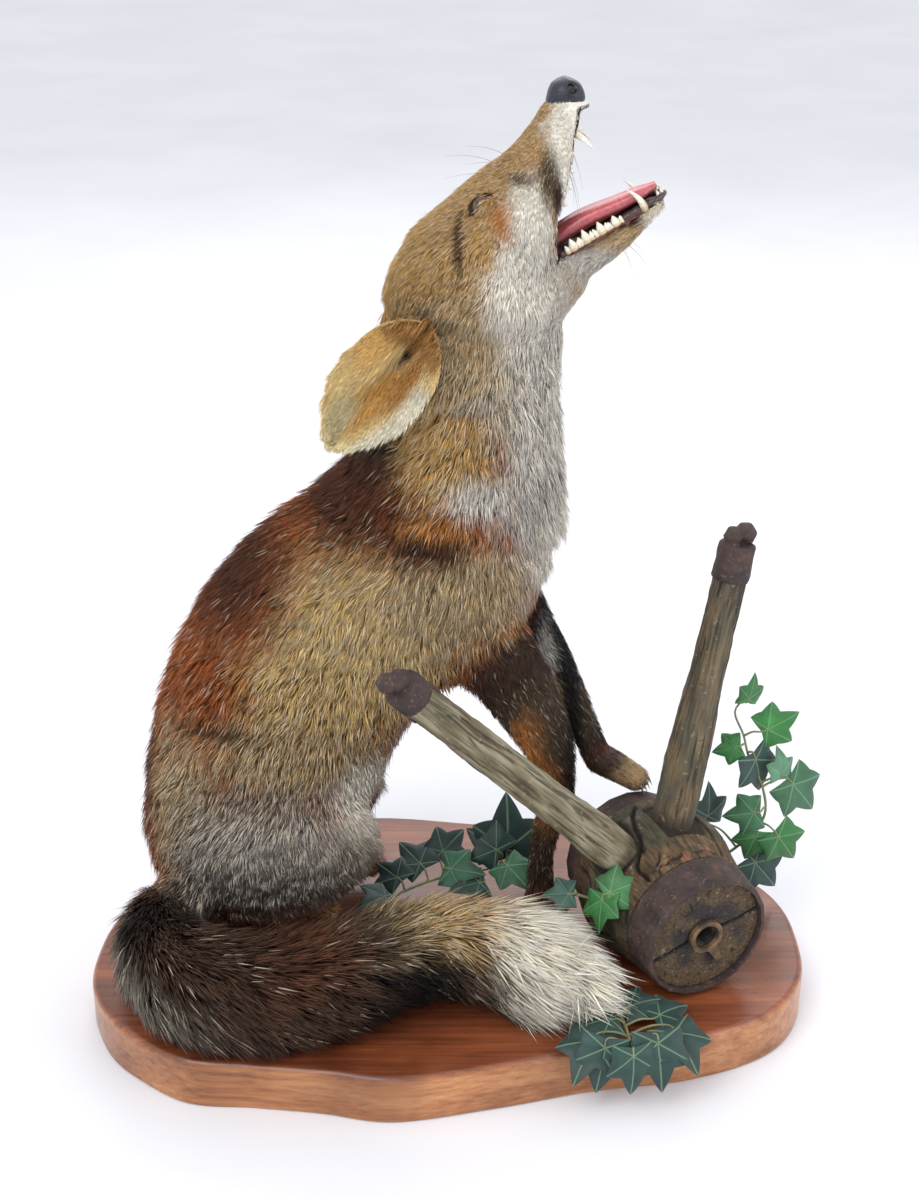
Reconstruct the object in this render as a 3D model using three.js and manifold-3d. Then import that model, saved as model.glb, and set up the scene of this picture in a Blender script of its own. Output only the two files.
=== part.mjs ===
// A mounted red fox: it sits howling on a slab of wood, one forepaw on an old wheel hub with two spokes left in it,
// with artificial ivy round the hub. Millimetres, +Z up. The fox faces +X, and its left side is +Y.
// The origin is the middle of the slab's underside.
import * as THREE from "three";
import { mergeVertices } from "three/addons/utils/BufferGeometryUtils.js";
import Module from "manifold-3d";

const wasm = await Module();
wasm.setup();

// ---- driving dimensions ----
const GAP = 0.3; // clearance between pieces that touch
const BOARD_THICKNESS = 34;
const BOARD_BEVEL = 5;
const MIDPLANE = 34; // the Y of the fox's plane of symmetry
const EYE_RADIUS = 8.5;
const HUB = {
  front: [171, -73, 80.5], // centre of the front rim
  azimuth: 65, // degrees that the axis turns from +X towards -Y
  dip: 3, // degrees that the front end hangs
  length: 113,
  rim: 44.5,
  belly: 54,
  boreRadius: 8.5,
  boreDepth: 45,
  bandWidth: 25,
  rearBandWidth: 17,
  bandThickness: 3.2,
  faceRecess: 4,
};
const SPOKES_AT = 65; // distance of the spokes' plane behind the front rim
const IVY_THICKNESS = 0.9;
const IVY_STEM = 1.3;

const vec = (p) => new THREE.Vector3(...p);
const degrees = (angle) => THREE.MathUtils.degToRad(angle);
const Y_AXIS = new THREE.Vector3(0, 1, 0);
const Z_AXIS = new THREE.Vector3(0, 0, 1);

// ---- solids ----

// A closed geometry as a manifold solid whose faces point outwards.
function solid(geometry) {
  const bare = geometry.index ? geometry.toNonIndexed() : geometry.clone();
  const shape = mergeVertices(
    new THREE.BufferGeometry().setAttribute("position", bare.getAttribute("position")),
    1e-3,
  );
  const make = (triVerts) =>
    new wasm.Manifold(
      new wasm.Mesh({ numProp: 3, vertProperties: shape.attributes.position.array, triVerts }),
    );
  const triVerts = new Uint32Array(shape.index.array);
  const made = make(triVerts);
  if (made.volume() > 0) return made;
  for (let i = 0; i < triVerts.length; i += 3) {
    [triVerts[i + 1], triVerts[i + 2]] = [triVerts[i + 2], triVerts[i + 1]];
  }
  return make(triVerts);
}

function geometryOf(made) {
  const mesh = made.getMesh();
  const places = new Float32Array(mesh.numVert * 3);
  for (let i = 0; i < mesh.numVert; i++) {
    places.set(mesh.vertProperties.subarray(i * mesh.numProp, i * mesh.numProp + 3), i * 3);
  }
  const geometry = new THREE.BufferGeometry();
  geometry.setAttribute("position", new THREE.BufferAttribute(places, 3));
  geometry.setIndex(new THREE.BufferAttribute(new Uint32Array(mesh.triVerts), 1));
  geometry.computeVertexNormals();
  return geometry;
}

// What is left of a solid once others are cut from it: its largest body.
function trimmed(made, ...cutters) {
  const left = cutters.reduce((rest, cutter) => rest.subtract(cutter), made);
  return left.decompose().reduce((a, b) => (a.volume() > b.volume() ? a : b));
}

const joined = (...pieces) => pieces.reduce((a, b) => a.add(b));

// A body of oval sections along a smooth line. Each station has its centre and its half sizes:
// wide along the side vector, up and down across it. The ends bulge by cap times their size.
function loft(stations, options = {}) {
  const { sides = 16, rings = 12, side = Y_AXIS, square = 1, cap = 0.6, grow = 0, domed = true } = options;
  const line = new THREE.CatmullRomCurve3(stations.map((s) => vec(s.at)), false, "centripetal");
  const sizes = new THREE.CatmullRomCurve3(
    stations.map((s) => new THREE.Vector3(s.wide, s.up, s.down ?? s.up)),
  );
  const lift = (value) => Math.sign(value) * Math.abs(value) ** square;
  const places = [];
  const ring = (t, shrink, along) => {
    const tangent = line.getTangent(t);
    const up = tangent.clone().cross(side).normalize();
    const across = up.clone().cross(tangent).normalize();
    const size = sizes.getPoint(t);
    const reach = (size.x + size.y + size.z) / 3;
    const centre = line.getPoint(t).addScaledVector(tangent, along * (cap * reach + grow));
    for (let j = 0; j < sides; j++) {
      const angle = (2 * Math.PI * j) / sides;
      const s = Math.sin(angle);
      const wide = (size.x + grow) * shrink * lift(Math.cos(angle));
      const high = ((s > 0 ? size.y : size.z) + grow) * shrink * lift(s);
      places.push(centre.clone().addScaledVector(across, wide).addScaledVector(up, high));
    }
    return centre;
  };
  const capAngle = degrees(50);
  if (domed) ring(0, Math.cos(capAngle), -Math.sin(capAngle));
  for (let i = 0; i <= rings; i++) ring(i / rings, 1, 0);
  if (domed) ring(1, Math.cos(capAngle), Math.sin(capAngle));
  const count = places.length / sides;
  const poles = [0, 1].map((t) => {
    const size = sizes.getPoint(t);
    const reach = (cap * (size.x + size.y + size.z)) / 3 + grow;
    return line.getPoint(t).addScaledVector(line.getTangent(t), t ? reach : -reach);
  });
  const [startPole, endPole] = [places.length, places.length + 1];
  places.push(...poles);
  const faces = [];
  for (let j = 0; j < sides; j++) {
    const k = (j + 1) % sides;
    faces.push(startPole, k, j);
    for (let i = 0; i < count - 1; i++) {
      const [a, b, c, d] = [i * sides + j, i * sides + k, (i + 1) * sides + k, (i + 1) * sides + j];
      faces.push(a, b, c, a, c, d);
    }
    faces.push(endPole, (count - 1) * sides + j, (count - 1) * sides + k);
  }
  return new THREE.BufferGeometry().setFromPoints(places).setIndex(faces);
}

// The same stations on the fox's other side.
const mirrored = (stations) =>
  stations.map((s) => ({ ...s, at: [s.at[0], 2 * MIDPLANE - s.at[1], s.at[2]] }));

// A round tube of even radius through points, in short straight lengths.
function tube(points, radius, rings, sides = 5) {
  const stations = points.map((at) => ({ at, wide: radius, up: radius }));
  return loft(stations, { sides, rings, side: new THREE.Vector3(0.31, 0.52, 0.8), cap: 0.3, domed: false });
}

// A straight round rod that tapers from one radius to another, for a tooth or a leaf's stalk.
function rod(from, to, fromRadius, toRadius, sides = 5) {
  const way = to.clone().sub(from);
  return new THREE.CylinderGeometry(toRadius, fromRadius, way.length(), sides)
    .translate(0, way.length() / 2, 0)
    .applyQuaternion(new THREE.Quaternion().setFromUnitVectors(Y_AXIS, way.normalize()))
    .translate(...from);
}

const sphere = (centre, radius, detail = 10) =>
  new THREE.SphereGeometry(radius, detail, Math.round(detail * 0.7)).translate(...centre);

// ---- the wooden slab ----

// The slab's edge: a smooth closed line through the bays and bulges of a natural log slice.
function boardOutline(inset) {
  const edge = [
    [-237, -45], [-214, -98], [-168, -136], [-118, -144], [-76, -149], [-30, -157],
    [33, -144], [90, -129], [158, -117], [211, -91], [238, -52], [243, 0],
    [231, 53], [190, 98], [125, 128], [40, 143], [-50, 154], [-130, 142], [-190, 98], [-228, 26],
  ];
  const scale = (reach) => (reach - inset) / reach;
  const points = edge.map(([x, y]) => {
    const reach = Math.hypot(x, y);
    return new THREE.Vector3(x * scale(reach), y * scale(reach), 0);
  });
  return new THREE.CatmullRomCurve3(points, true).getPoints(48).slice(0, -1);
}

function board() {
  const layers = [
    [0, 2], [2, 0], [BOARD_THICKNESS - BOARD_BEVEL, 0],
    [BOARD_THICKNESS - 1.5, 1.6], [BOARD_THICKNESS, BOARD_BEVEL],
  ];
  const places = layers.flatMap(([z, inset]) =>
    boardOutline(inset).map((p) => new THREE.Vector3(p.x, p.y, z)),
  );
  const sides = boardOutline(0).length;
  const faces = [];
  for (let j = 0; j < sides; j++) {
    const k = (j + 1) % sides;
    for (let i = 0; i < layers.length - 1; i++) {
      const [a, b, c, d] = [i * sides + j, i * sides + k, (i + 1) * sides + k, (i + 1) * sides + j];
      faces.push(a, b, c, a, c, d);
    }
  }
  const caps = THREE.ShapeUtils.triangulateShape(
    boardOutline(0).map((p) => new THREE.Vector2(p.x, p.y)), [],
  );
  const top = (layers.length - 1) * sides;
  caps.forEach(([a, b, c]) => faces.push(a, c, b, top + a, top + b, top + c));
  return new THREE.BufferGeometry().setFromPoints(places).setIndex(faces);
}

// ---- the wheel hub and its spokes ----

const hubAxis = new THREE.Vector3(
  Math.cos(degrees(HUB.azimuth)) * Math.cos(degrees(HUB.dip)),
  -Math.sin(degrees(HUB.azimuth)) * Math.cos(degrees(HUB.dip)),
  -Math.sin(degrees(HUB.dip)),
); // towards the front end
const hubSide = hubAxis.clone().cross(Z_AXIS).normalize();
const hubUp = hubSide.clone().cross(hubAxis).normalize();
const onHub = (depth) => vec(HUB.front).addScaledVector(hubAxis, -depth);

// A turned piece of the hub: its profile runs through [depth behind the front rim, radius].
function turned(profile, segments = 20) {
  const points = profile.map(([depth, radius]) => new THREE.Vector2(radius, depth));
  const frame = new THREE.Matrix4().makeBasis(hubSide, hubAxis.clone().negate(), hubUp);
  return new THREE.LatheGeometry(points, segments)
    .applyMatrix4(frame.setPosition(...HUB.front));
}

function hubBarrel(grow = 0) {
  const under = HUB.rim - HUB.bandThickness - GAP;
  const [front, shoulder, rear] = [HUB.faceRecess, HUB.bandWidth, HUB.length - HUB.rearBandWidth];
  const bore = grow ? [[front - grow, 0]] : [
    [front + HUB.boreDepth, 0], [front + HUB.boreDepth, HUB.boreRadius], [front, HUB.boreRadius],
  ];
  return turned([
    ...bore, [front - grow, under + grow], [shoulder + GAP - grow, under + grow],
    [shoulder + GAP - grow, HUB.rim + 2 + grow], [42, 50 + grow], [55, 53.4 + grow],
    [SPOKES_AT, HUB.belly + grow], [78, 52.4 + grow], [rear - GAP + grow, HUB.rim + 3 + grow],
    [rear - GAP + grow, under + grow], [HUB.length - 3 + grow, under + grow], [HUB.length - 3 + grow, 0],
  ]);
}

// An iron band between two depths: an open ring with a slightly conical outside.
function hubBand(from, to, frontRadius, rearRadius, grow = 0) {
  const inner = HUB.rim - HUB.bandThickness - grow;
  const profile = [
    [from - grow, inner], [from - grow, frontRadius - 1 + grow], [from + 1.2, frontRadius + grow],
    [to - 1, rearRadius + grow], [to + grow, rearRadius - 1 + grow], [to + grow, inner],
  ];
  return turned([...profile, profile[0]]);
}

const frontBand = (grow) => hubBand(0, HUB.bandWidth, HUB.rim, HUB.rim + 2, grow);
const rearBand = (grow) =>
  hubBand(HUB.length - HUB.rearBandWidth, HUB.length, HUB.rim + 2, HUB.rim, grow);

// The flat iron keyhole that lines the bore on the front face.
function hubKeeper() {
  const ring = HUB.boreRadius + 3.4;
  const tail = 24;
  const outline = new THREE.Shape();
  outline.absarc(0, 0, ring, degrees(-72), degrees(252), false);
  outline.lineTo(-2.2, -tail);
  outline.lineTo(2.2, -tail);
  outline.closePath();
  outline.holes.push(new THREE.Path().absarc(0, 0, HUB.boreRadius + GAP, 0, 2 * Math.PI, true));
  const turn = new THREE.Matrix4().makeRotationZ(degrees(28));
  const frame = new THREE.Matrix4().makeBasis(hubSide.clone().negate(), hubUp, hubAxis);
  const thickness = 3;
  return new THREE.ExtrudeGeometry(outline, { depth: thickness, bevelEnabled: false, curveSegments: 10 })
    .applyMatrix4(turn)
    .applyMatrix4(frame.setPosition(...onHub(HUB.faceRecess - GAP)));
}

// A spoke stands in the hub at an angle from the hub's side vector towards its up vector, and leans along the axis.
function spokeFrame({ angle, lean }) {
  const out = hubSide.clone().multiplyScalar(Math.cos(degrees(angle)))
    .addScaledVector(hubUp, Math.sin(degrees(angle)));
  const along = out.multiplyScalar(Math.cos(degrees(lean))).addScaledVector(hubAxis, Math.sin(degrees(lean)));
  return { root: onHub(SPOKES_AT), along };
}

const UPRIGHT = { angle: 101, lean: -3, length: 246, foot: 16, waist: 10.6, ferrule: 12 };
const LEANING = { angle: 46, lean: 0, length: 274, foot: 16, waist: 12.5, ferrule: 12.5 };
const FERRULE_LENGTH = 24;

function spokeStations(spoke) {
  const { root, along } = spokeFrame(spoke);
  const at = (reach) => root.clone().addScaledVector(along, reach).toArray();
  const { length, foot, waist } = spoke;
  return [
    { at: at(38), wide: foot * 0.95, up: foot * 0.86 },
    { at: at(70), wide: foot, up: foot * 0.9 },
    { at: at(110), wide: (foot + waist) / 2, up: foot * 0.78 },
    { at: at(160), wide: waist, up: waist * 0.98 },
    { at: at(length - FERRULE_LENGTH * 0.6), wide: waist * 0.96, up: waist * 0.92 },
  ];
}

const spokeWood = (spoke, grow = 0) =>
  loft(spokeStations(spoke), { sides: 12, rings: 6, side: hubAxis, square: 0.72, cap: 0.05, grow, domed: false });

// The iron thimble on a spoke's end, with the worn stub of the tenon above it.
function ferrule(spoke) {
  const { root, along } = spokeFrame(spoke);
  const at = (reach) => root.clone().addScaledVector(along, reach).toArray();
  const { length, ferrule: radius } = spoke;
  const sleeve = loft(
    [0, 0.5, 1].map((share) => ({
      at: at(length - FERRULE_LENGTH * (1 - share)),
      wide: radius * (1 - 0.06 * share), up: radius * (1 - 0.04 * share),
    })),
    { sides: 12, rings: 2, side: hubAxis, cap: 0.04, domed: false },
  );
  const lobe = (offset, size) =>
    sphere(root.clone().addScaledVector(along, length + 6).addScaledVector(hubSide, offset).toArray(), size, 6);
  return trimmed(
    joined(solid(sleeve), solid(lobe(-4, 7.5)), solid(lobe(5, 6.5))),
    solid(spokeWood(spoke, GAP)),
  );
}

// ---- the fox ----

// A station of the trunk, neck or head, on the plane of symmetry.
const mid = (x, z, wide, back, belly) => ({ at: [x, MIDPLANE, z], wide, up: back, down: belly });

const TRUNK = [
  mid(-150, 62, 52, 62, 46),
  mid(-136, 104, 68, 80, 66),
  mid(-108, 165, 70, 97, 72),
  mid(-82, 215, 70, 103, 68),
  mid(-52, 260, 68, 99, 74),
  mid(-20, 302, 65, 87, 85),
  mid(4, 345, 60, 74, 80),
];
const NECK = [
  mid(-8, 322, 60, 76, 78),
  mid(6, 352, 59, 72, 77),
  mid(11, 390, 55, 68, 65),
  mid(15, 432, 53, 62, 60),
  mid(19, 466, 52, 60, 60),
];
const HEAD = [
  mid(8, 458, 48, 52, 50),
  mid(22, 487, 56, 53, 57),
  mid(36, 514, 49, 43, 38),
  mid(48, 538, 36, 32, 27),
  mid(57, 558, 26, 20.5, 26),
  mid(65, 577, 19.5, 14, 21),
  mid(71, 593, 15.5, 11, 16),
  mid(72.5, 598, 13.5, 9.5, 14),
];
const THROAT = [
  mid(38, 466, 44, 30, 32),
  mid(58, 484, 36, 18, 28),
  mid(80, 497, 26, 13, 15),
];
const LOWER_JAW = [
  mid(66, 494, 29, 14, 15),
  mid(84, 501, 22, 11, 11),
  mid(104, 513, 15.5, 9, 8.5),
  mid(119, 525, 12.5, 7.5, 5.5),
  mid(128, 534, 10.5, 6, 4.5),
];
const TONGUE = [
  mid(66, 513, 12, 6, 5),
  mid(84, 525, 11, 6, 5),
  mid(104, 534, 9, 5, 4),
  mid(122, 543, 7.5, 3.5, 3),
];
const EYE_AT = [25, MIDPLANE - 23, 537.5];

// The near thigh and shank are one folded mass; the foot lies under them on the slab.
const THIGH = [
  { at: [-156, -2, 108], wide: 34, up: 58, down: 54 },
  { at: [-124, -8, 110], wide: 37, up: 64, down: 60 },
  { at: [-92, -10, 116], wide: 35, up: 58, down: 52 },
  { at: [-63, -7, 127], wide: 28, up: 42, down: 38 },
];
const SHANK = [
  { at: [-72, -4, 116], wide: 24, up: 26 },
  { at: [-104, -2, 84], wide: 22, up: 24 },
  { at: [-136, 2, 62], wide: 17, up: 17 },
];
const NEAR_HIND_FOOT = [
  { at: [-142, 6, 53], wide: 13, up: 13, down: 15 },
  { at: [-110, 7, 49], wide: 12, up: 11, down: 13 },
  { at: [-78, 7, 46], wide: 16, up: 11, down: 11 },
];
const FAR_HIND_FOOT = [
  { at: [-118, 60, 53], wide: 13, up: 13, down: 15 },
  { at: [-82, 61, 50], wide: 12, up: 12, down: 14 },
  { at: [-50, 62, 48], wide: 16, up: 13, down: 12 },
];
const NEAR_FORELEG = [
  { at: [8, 6, 278], wide: 18, up: 36, down: 40 },
  { at: [32, 6, 244], wide: 19, up: 32, down: 30 },
  { at: [50, 8, 214], wide: 18, up: 28, down: 24 },
  { at: [64, 10, 184], wide: 15, up: 23, down: 19 },
  { at: [75, 13, 154], wide: 13, up: 18, down: 14 },
  { at: [72, 17, 122], wide: 12.5, up: 12, down: 12 },
  { at: [67, 20, 88], wide: 11.5, up: 10, down: 10 },
  { at: [66, 21, 62], wide: 12.5, up: 11, down: 11 },
];
const NEAR_PAW = [
  { at: [62, 21, 51], wide: 14, up: 13, down: 14 },
  { at: [74, 20, 47], wide: 15, up: 11, down: 12 },
  { at: [82, 20, 44], wide: 13, up: 8, down: 9 },
];
const FAR_FORELEG = [
  { at: [30, 58, 282], wide: 17, up: 30, down: 30 },
  { at: [50, 57, 248], wide: 17, up: 24, down: 24 },
  { at: [68, 55, 222], wide: 15, up: 19, down: 19 },
  { at: [82, 52, 196], wide: 13, up: 15.5, down: 15 },
  { at: [94, 49, 172], wide: 12, up: 13, down: 12 },
  { at: [103, 45, 152], wide: 12, up: 11, down: 11 },
];
const FAR_PAW = [
  { at: [103, 46, 149], wide: 12.5, up: 12, down: 12 },
  { at: [119, 40, 143], wide: 14, up: 10, down: 11 },
  { at: [134, 34, 136], wide: 14, up: 8, down: 9 },
];

// The tail leaves the rump, turns round the haunch and lies along the slab's front.
const TAIL = [
  { at: [-156, 30, 64], wide: 24, up: 20 },
  { at: [-176, -2, 63], wide: 28, up: 24 },
  { at: [-187, -42, 66], wide: 33, up: 30 },
  { at: [-177, -88, 70], wide: 37, up: 35 },
  { at: [-146, -114, 72], wide: 40, up: 37 },
  { at: [-102, -117, 72], wide: 41, up: 38 },
  { at: [-62, -98, 72], wide: 38, up: 37 },
  { at: [-20, -72, 71], wide: 35, up: 36 },
  { at: [20, -68, 69], wide: 35, up: 34 },
  { at: [52, -79, 66], wide: 36, up: 34 },
  { at: [74, -88, 65], wide: 27, up: 27 },
];
const TAIL_CUTS = [0.42, 0.8]; // shares of the tail's length where its lengths meet

// An ear is a thin cup. The right one lies back along the neck, and the left one is held out and down.
const EAR = { width: 52, depth: 15, thickness: 3 };
const EAR_RIGHT = { base: [-14, -27, 469], tip: [-67, -31, 404], openTo: [0.12, -1, 0.3] };
const EAR_LEFT = { base: [-6, 93, 474], tip: [-30, 122, 406], openTo: [0.7, 0.6, 0] };

function ear({ base, tip, openTo }) {
  const length = vec(tip).sub(vec(base));
  const across = length.clone().cross(vec(openTo)).normalize();
  const open = across.clone().cross(length).normalize();
  const [along, around] = [7, 6];
  const point = (i, j, layer) => {
    const u = i / along;
    const v = (2 * j) / around - 1;
    const narrowing = u > 0.45 ? Math.sqrt(1 - ((u - 0.45) / 0.56) ** 2) : 1;
    const cup = EAR.depth * (1 - v * v) * (1 - 0.55 * u);
    const thick = layer * EAR.thickness * (1 - 0.35 * Math.abs(v));
    return vec(base).addScaledVector(length, u)
      .addScaledVector(across, (EAR.width / 2) * (0.8 + 0.28 * Math.sin(3.5 * u)) * narrowing * v)
      .addScaledVector(open, -cup - thick);
  };
  const places = [];
  for (const layer of [0, 1]) {
    for (let i = 0; i <= along; i++) for (let j = 0; j <= around; j++) places.push(point(i, j, layer));
  }
  const row = around + 1;
  const sheet = (along + 1) * row;
  const faces = [];
  for (let i = 0; i < along; i++) {
    for (let j = 0; j < around; j++) {
      const [a, b, c, d] = [i * row + j, i * row + j + 1, (i + 1) * row + j + 1, (i + 1) * row + j];
      faces.push(a, b, c, a, c, d, sheet + a, sheet + c, sheet + b, sheet + a, sheet + d, sheet + c);
    }
  }
  const rim = [];
  for (let j = 0; j < around; j++) rim.push(j);
  for (let i = 0; i < along; i++) rim.push(i * row + around);
  for (let j = around; j > 0; j--) rim.push(along * row + j);
  for (let i = along; i > 0; i--) rim.push(i * row);
  rim.forEach((a, n) => {
    const b = rim[(n + 1) % rim.length];
    faces.push(b, a, sheet + a, b, sheet + a, sheet + b);
  });
  return new THREE.BufferGeometry().setFromPoints(places).setIndex(faces);
}

// The nose pad, with a nostril notched into each side.
const NOSE = [mid(67.5, 592, 10, 7.5, 12), mid(71.5, 600, 12, 9.5, 13), mid(73.5, 604.5, 9.5, 7, 10)];
const noseForm = (grow) => solid(loft(NOSE, { sides: 12, rings: 3, cap: 0.38, grow }));

function nosePad() {
  const nostril = (side) => solid(sphere([75.5, MIDPLANE + side * 10, 604.5], 3.4, 6));
  return noseForm(0).subtract(nostril(1)).subtract(nostril(-1));
}

// A bow of gum, and the teeth that grow from it. Its ends are at the start, backHalf to each side, and it narrows
// to frontHalf. Each tooth is [its share of the length, height, radius].
function gumPlace(bow, share, side, rise = 0) {
  const half = bow.frontHalf + (bow.backHalf - bow.frontHalf) * (1 - Math.min(share, 1)) ** 0.8;
  return vec(bow.start)
    .addScaledVector(vec(bow.forward).normalize(), share * bow.length)
    .addScaledVector(vec(bow.out).normalize(), rise)
    .add(new THREE.Vector3(0, side * half, 0));
}

function gum(bow, grow = 0) {
  const right = [0, 0.4, 0.9].map((share) => gumPlace(bow, share, -1));
  const left = [0.9, 0.4, 0].map((share) => gumPlace(bow, share, 1));
  const line = [...right, gumPlace(bow, 1.03, 0), ...left];
  return solid(tube(line.map((p) => p.toArray()), bow.gum + grow, 8, 4));
}

function dentition(bow) {
  const pieces = [gum(bow)];
  for (const side of [-1, 1]) {
    [...bow.teeth, bow.canine].forEach(([share, rise, radius]) => {
      const tip = gumPlace(bow, share - 0.03, side, rise);
      pieces.push(solid(rod(gumPlace(bow, share, side), tip, radius, 0.3, 4)));
    });
    const incisor = gumPlace(bow, 1.03, side * 0.45, bow.gum + 3);
    pieces.push(solid(rod(gumPlace(bow, 1.03, side * 0.45), incisor, 2.2, 0.8, 4)));
  }
  return joined(...pieces);
}

const UPPER_TEETH = {
  start: [67, MIDPLANE, 533],
  forward: [12.5, 0, 62],
  out: [0.93, 0, -0.36],
  backHalf: 16, frontHalf: 8, length: 54, gum: 2.4,
  teeth: [[0.16, 8, 2.6], [0.38, 8, 2.5], [0.64, 9, 2.2]],
  canine: [0.85, 15, 2.8],
};
const LOWER_TEETH = {
  start: [76, MIDPLANE, 511],
  forward: [54, 0, 30],
  out: [-0.48, 0, 0.88],
  backHalf: 17, frontHalf: 7.5, length: 59, gum: 2.4,
  teeth: [[0.05, 7, 2.5], [0.2, 7.5, 2.6], [0.36, 7.5, 2.5], [0.52, 6, 2.2]],
  canine: [0.84, 15, 2.6],
};

// The space inside the open mouth: between the jaws, and up into the palate behind the lips.
function mouthCavity() {
  const between = [mid(50, 508, 9, 6, 6), mid(66, 514, 17, 9, 7), mid(86, 528, 19, 17, 8), mid(112, 546, 18, 24, 8)];
  const palate = [
    mid(70, 520, 22, 9.5, 12), mid(73, 531, 20, 9.5, 12), mid(78, 556, 16.5, 9.5, 12), mid(83.5, 584, 12.8, 9.5, 12),
    mid(84.7, 590, 12, 9.5, 10),
  ];
  return joined(
    solid(loft(between, { sides: 10, rings: 3, cap: 0.2, domed: false })),
    solid(loft(palate, { sides: 12, rings: 4, square: 0.5, cap: 0.1, domed: false })),
  );
}

// ---- the ivy ----

// A five-pointed ivy leaf one unit long, as [degrees from its tip, reach] round its stalk end.
function ivyLeaf({ at, towards, facing, size }) {
  const half = [[0, 1], [27, 0.52], [58, 0.76], [88, 0.42], [128, 0.5]];
  const round = [...half, [180, 0.22], ...half.slice(1).reverse().map(([angle, reach]) => [-angle, reach])];
  const outline = new THREE.Shape(
    round.map(([angle, reach]) =>
      new THREE.Vector2(Math.cos(degrees(angle)) * reach * size, Math.sin(degrees(angle)) * reach * size)),
  );
  const along = vec(towards).normalize();
  const across = vec(facing).cross(along).normalize();
  const normal = along.clone().cross(across).normalize();
  const frame = new THREE.Matrix4().makeBasis(along, across, normal);
  return new THREE.ExtrudeGeometry(outline, { depth: IVY_THICKNESS, bevelEnabled: false })
    .translate(0, 0, -IVY_THICKNESS / 2)
    .applyMatrix4(frame.setPosition(...at));
}

// A sprig: a main stem, and leaves whose stalks run back to the stem's nearest point.
function ivySprig({ stem, leaves }) {
  const line = new THREE.CatmullRomCurve3(stem.map(vec), false, "centripetal");
  const along = line.getPoints(40);
  const pieces = [solid(tube(stem, IVY_STEM, 2 * stem.length - 4, 3))];
  leaves.forEach((leaf) => {
    const base = vec(leaf.at);
    const root = along.reduce((a, b) => (a.distanceTo(base) < b.distanceTo(base) ? a : b));
    const inside = base.addScaledVector(vec(leaf.towards).normalize(), IVY_STEM);
    pieces.push(solid(ivyLeaf(leaf)), solid(rod(root, inside, IVY_STEM * 0.8, IVY_STEM * 0.6, 3)));
  });
  return joined(...pieces);
}

const SPRIG_RIGHT = {
  stem: [[158, 58, 38], [184, 50, 56], [206, 42, 78], [222, 40, 102], [220, 40, 126], [209, 40, 150], [204, 40, 168], [197, 40, 186], [204, 41, 197]],
  leaves: [
    { at: [206, 41, 196], towards: [0.35, 0, 1], facing: [0.5, -0.8, 0], size: 18 },
    { at: [220, 38, 174], towards: [0.95, 0, 0.5], facing: [0.1, -1, 0.25], size: 24 },
    { at: [199, 38, 160], towards: [-1, 0, -0.25], facing: [-0.2, -0.8, 0.5], size: 17 },
    { at: [213, 38, 150], towards: [0.35, 0, -1], facing: [0.6, -0.8, 0.2], size: 28 },
    { at: [232, 40, 138], towards: [0, 0.1, 1], facing: [0.6, -0.8, 0.1], size: 19 },
    { at: [241, 42, 128], towards: [0.7, 0, -0.8], facing: [0.2, -0.9, 0.4], size: 30 },
    { at: [214, 34, 110], towards: [-1, -0.1, -0.1], facing: [0, -0.9, 0.4], size: 22 },
    { at: [216, 32, 92], towards: [-0.3, 0, -1], facing: [0, -0.9, 0.35], size: 22 },
    { at: [232, 32, 92], towards: [0.65, 0, -0.9], facing: [0.1, -0.9, 0.35], size: 26 },
    { at: [218, 36, 68], towards: [0.7, -0.1, -0.8], facing: [-0.1, -0.8, 0.6], size: 28 },
    { at: [184, 46, 100], towards: [0.12, 0, 1], facing: [0.5, -0.9, 0], size: 25 },
  ],
};
const SPRIG_FRONT = {
  stem: [[104, -78, 38], [112, -96, 41], [116, -116, 42], [118, -136, 42], [119, -148, 41]],
  leaves: [
    { at: [94, -132, 44], towards: [-0.45, -0.8, -0.35], facing: [-0.1, -0.5, 0.85], size: 30 },
    { at: [101, -140, 45], towards: [-0.2, -0.55, -0.8], facing: [0, -0.8, 0.6], size: 29 },
    { at: [118, -148, 45], towards: [0.03, -0.4, -0.9], facing: [0.3, -0.85, 0.4], size: 26 },
    { at: [134, -138, 47], towards: [0.1, -0.6, -0.7], facing: [0.1, -0.7, 0.7], size: 30 },
    { at: [146, -126, 46], towards: [0.45, -0.8, -0.3], facing: [0.2, -0.45, 0.85], size: 30 },
    { at: [138, -108, 46], towards: [0.7, 0.5, 0.1], facing: [0, -0.2, 1], size: 25 },
    { at: [106, -114, 47], towards: [-0.9, -0.2, 0.05], facing: [0, -0.2, 1], size: 24 },
    { at: [120, -100, 47], towards: [0.6, 0.1, 0.2], facing: [0, -0.4, 1], size: 20 },
  ],
};
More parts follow.
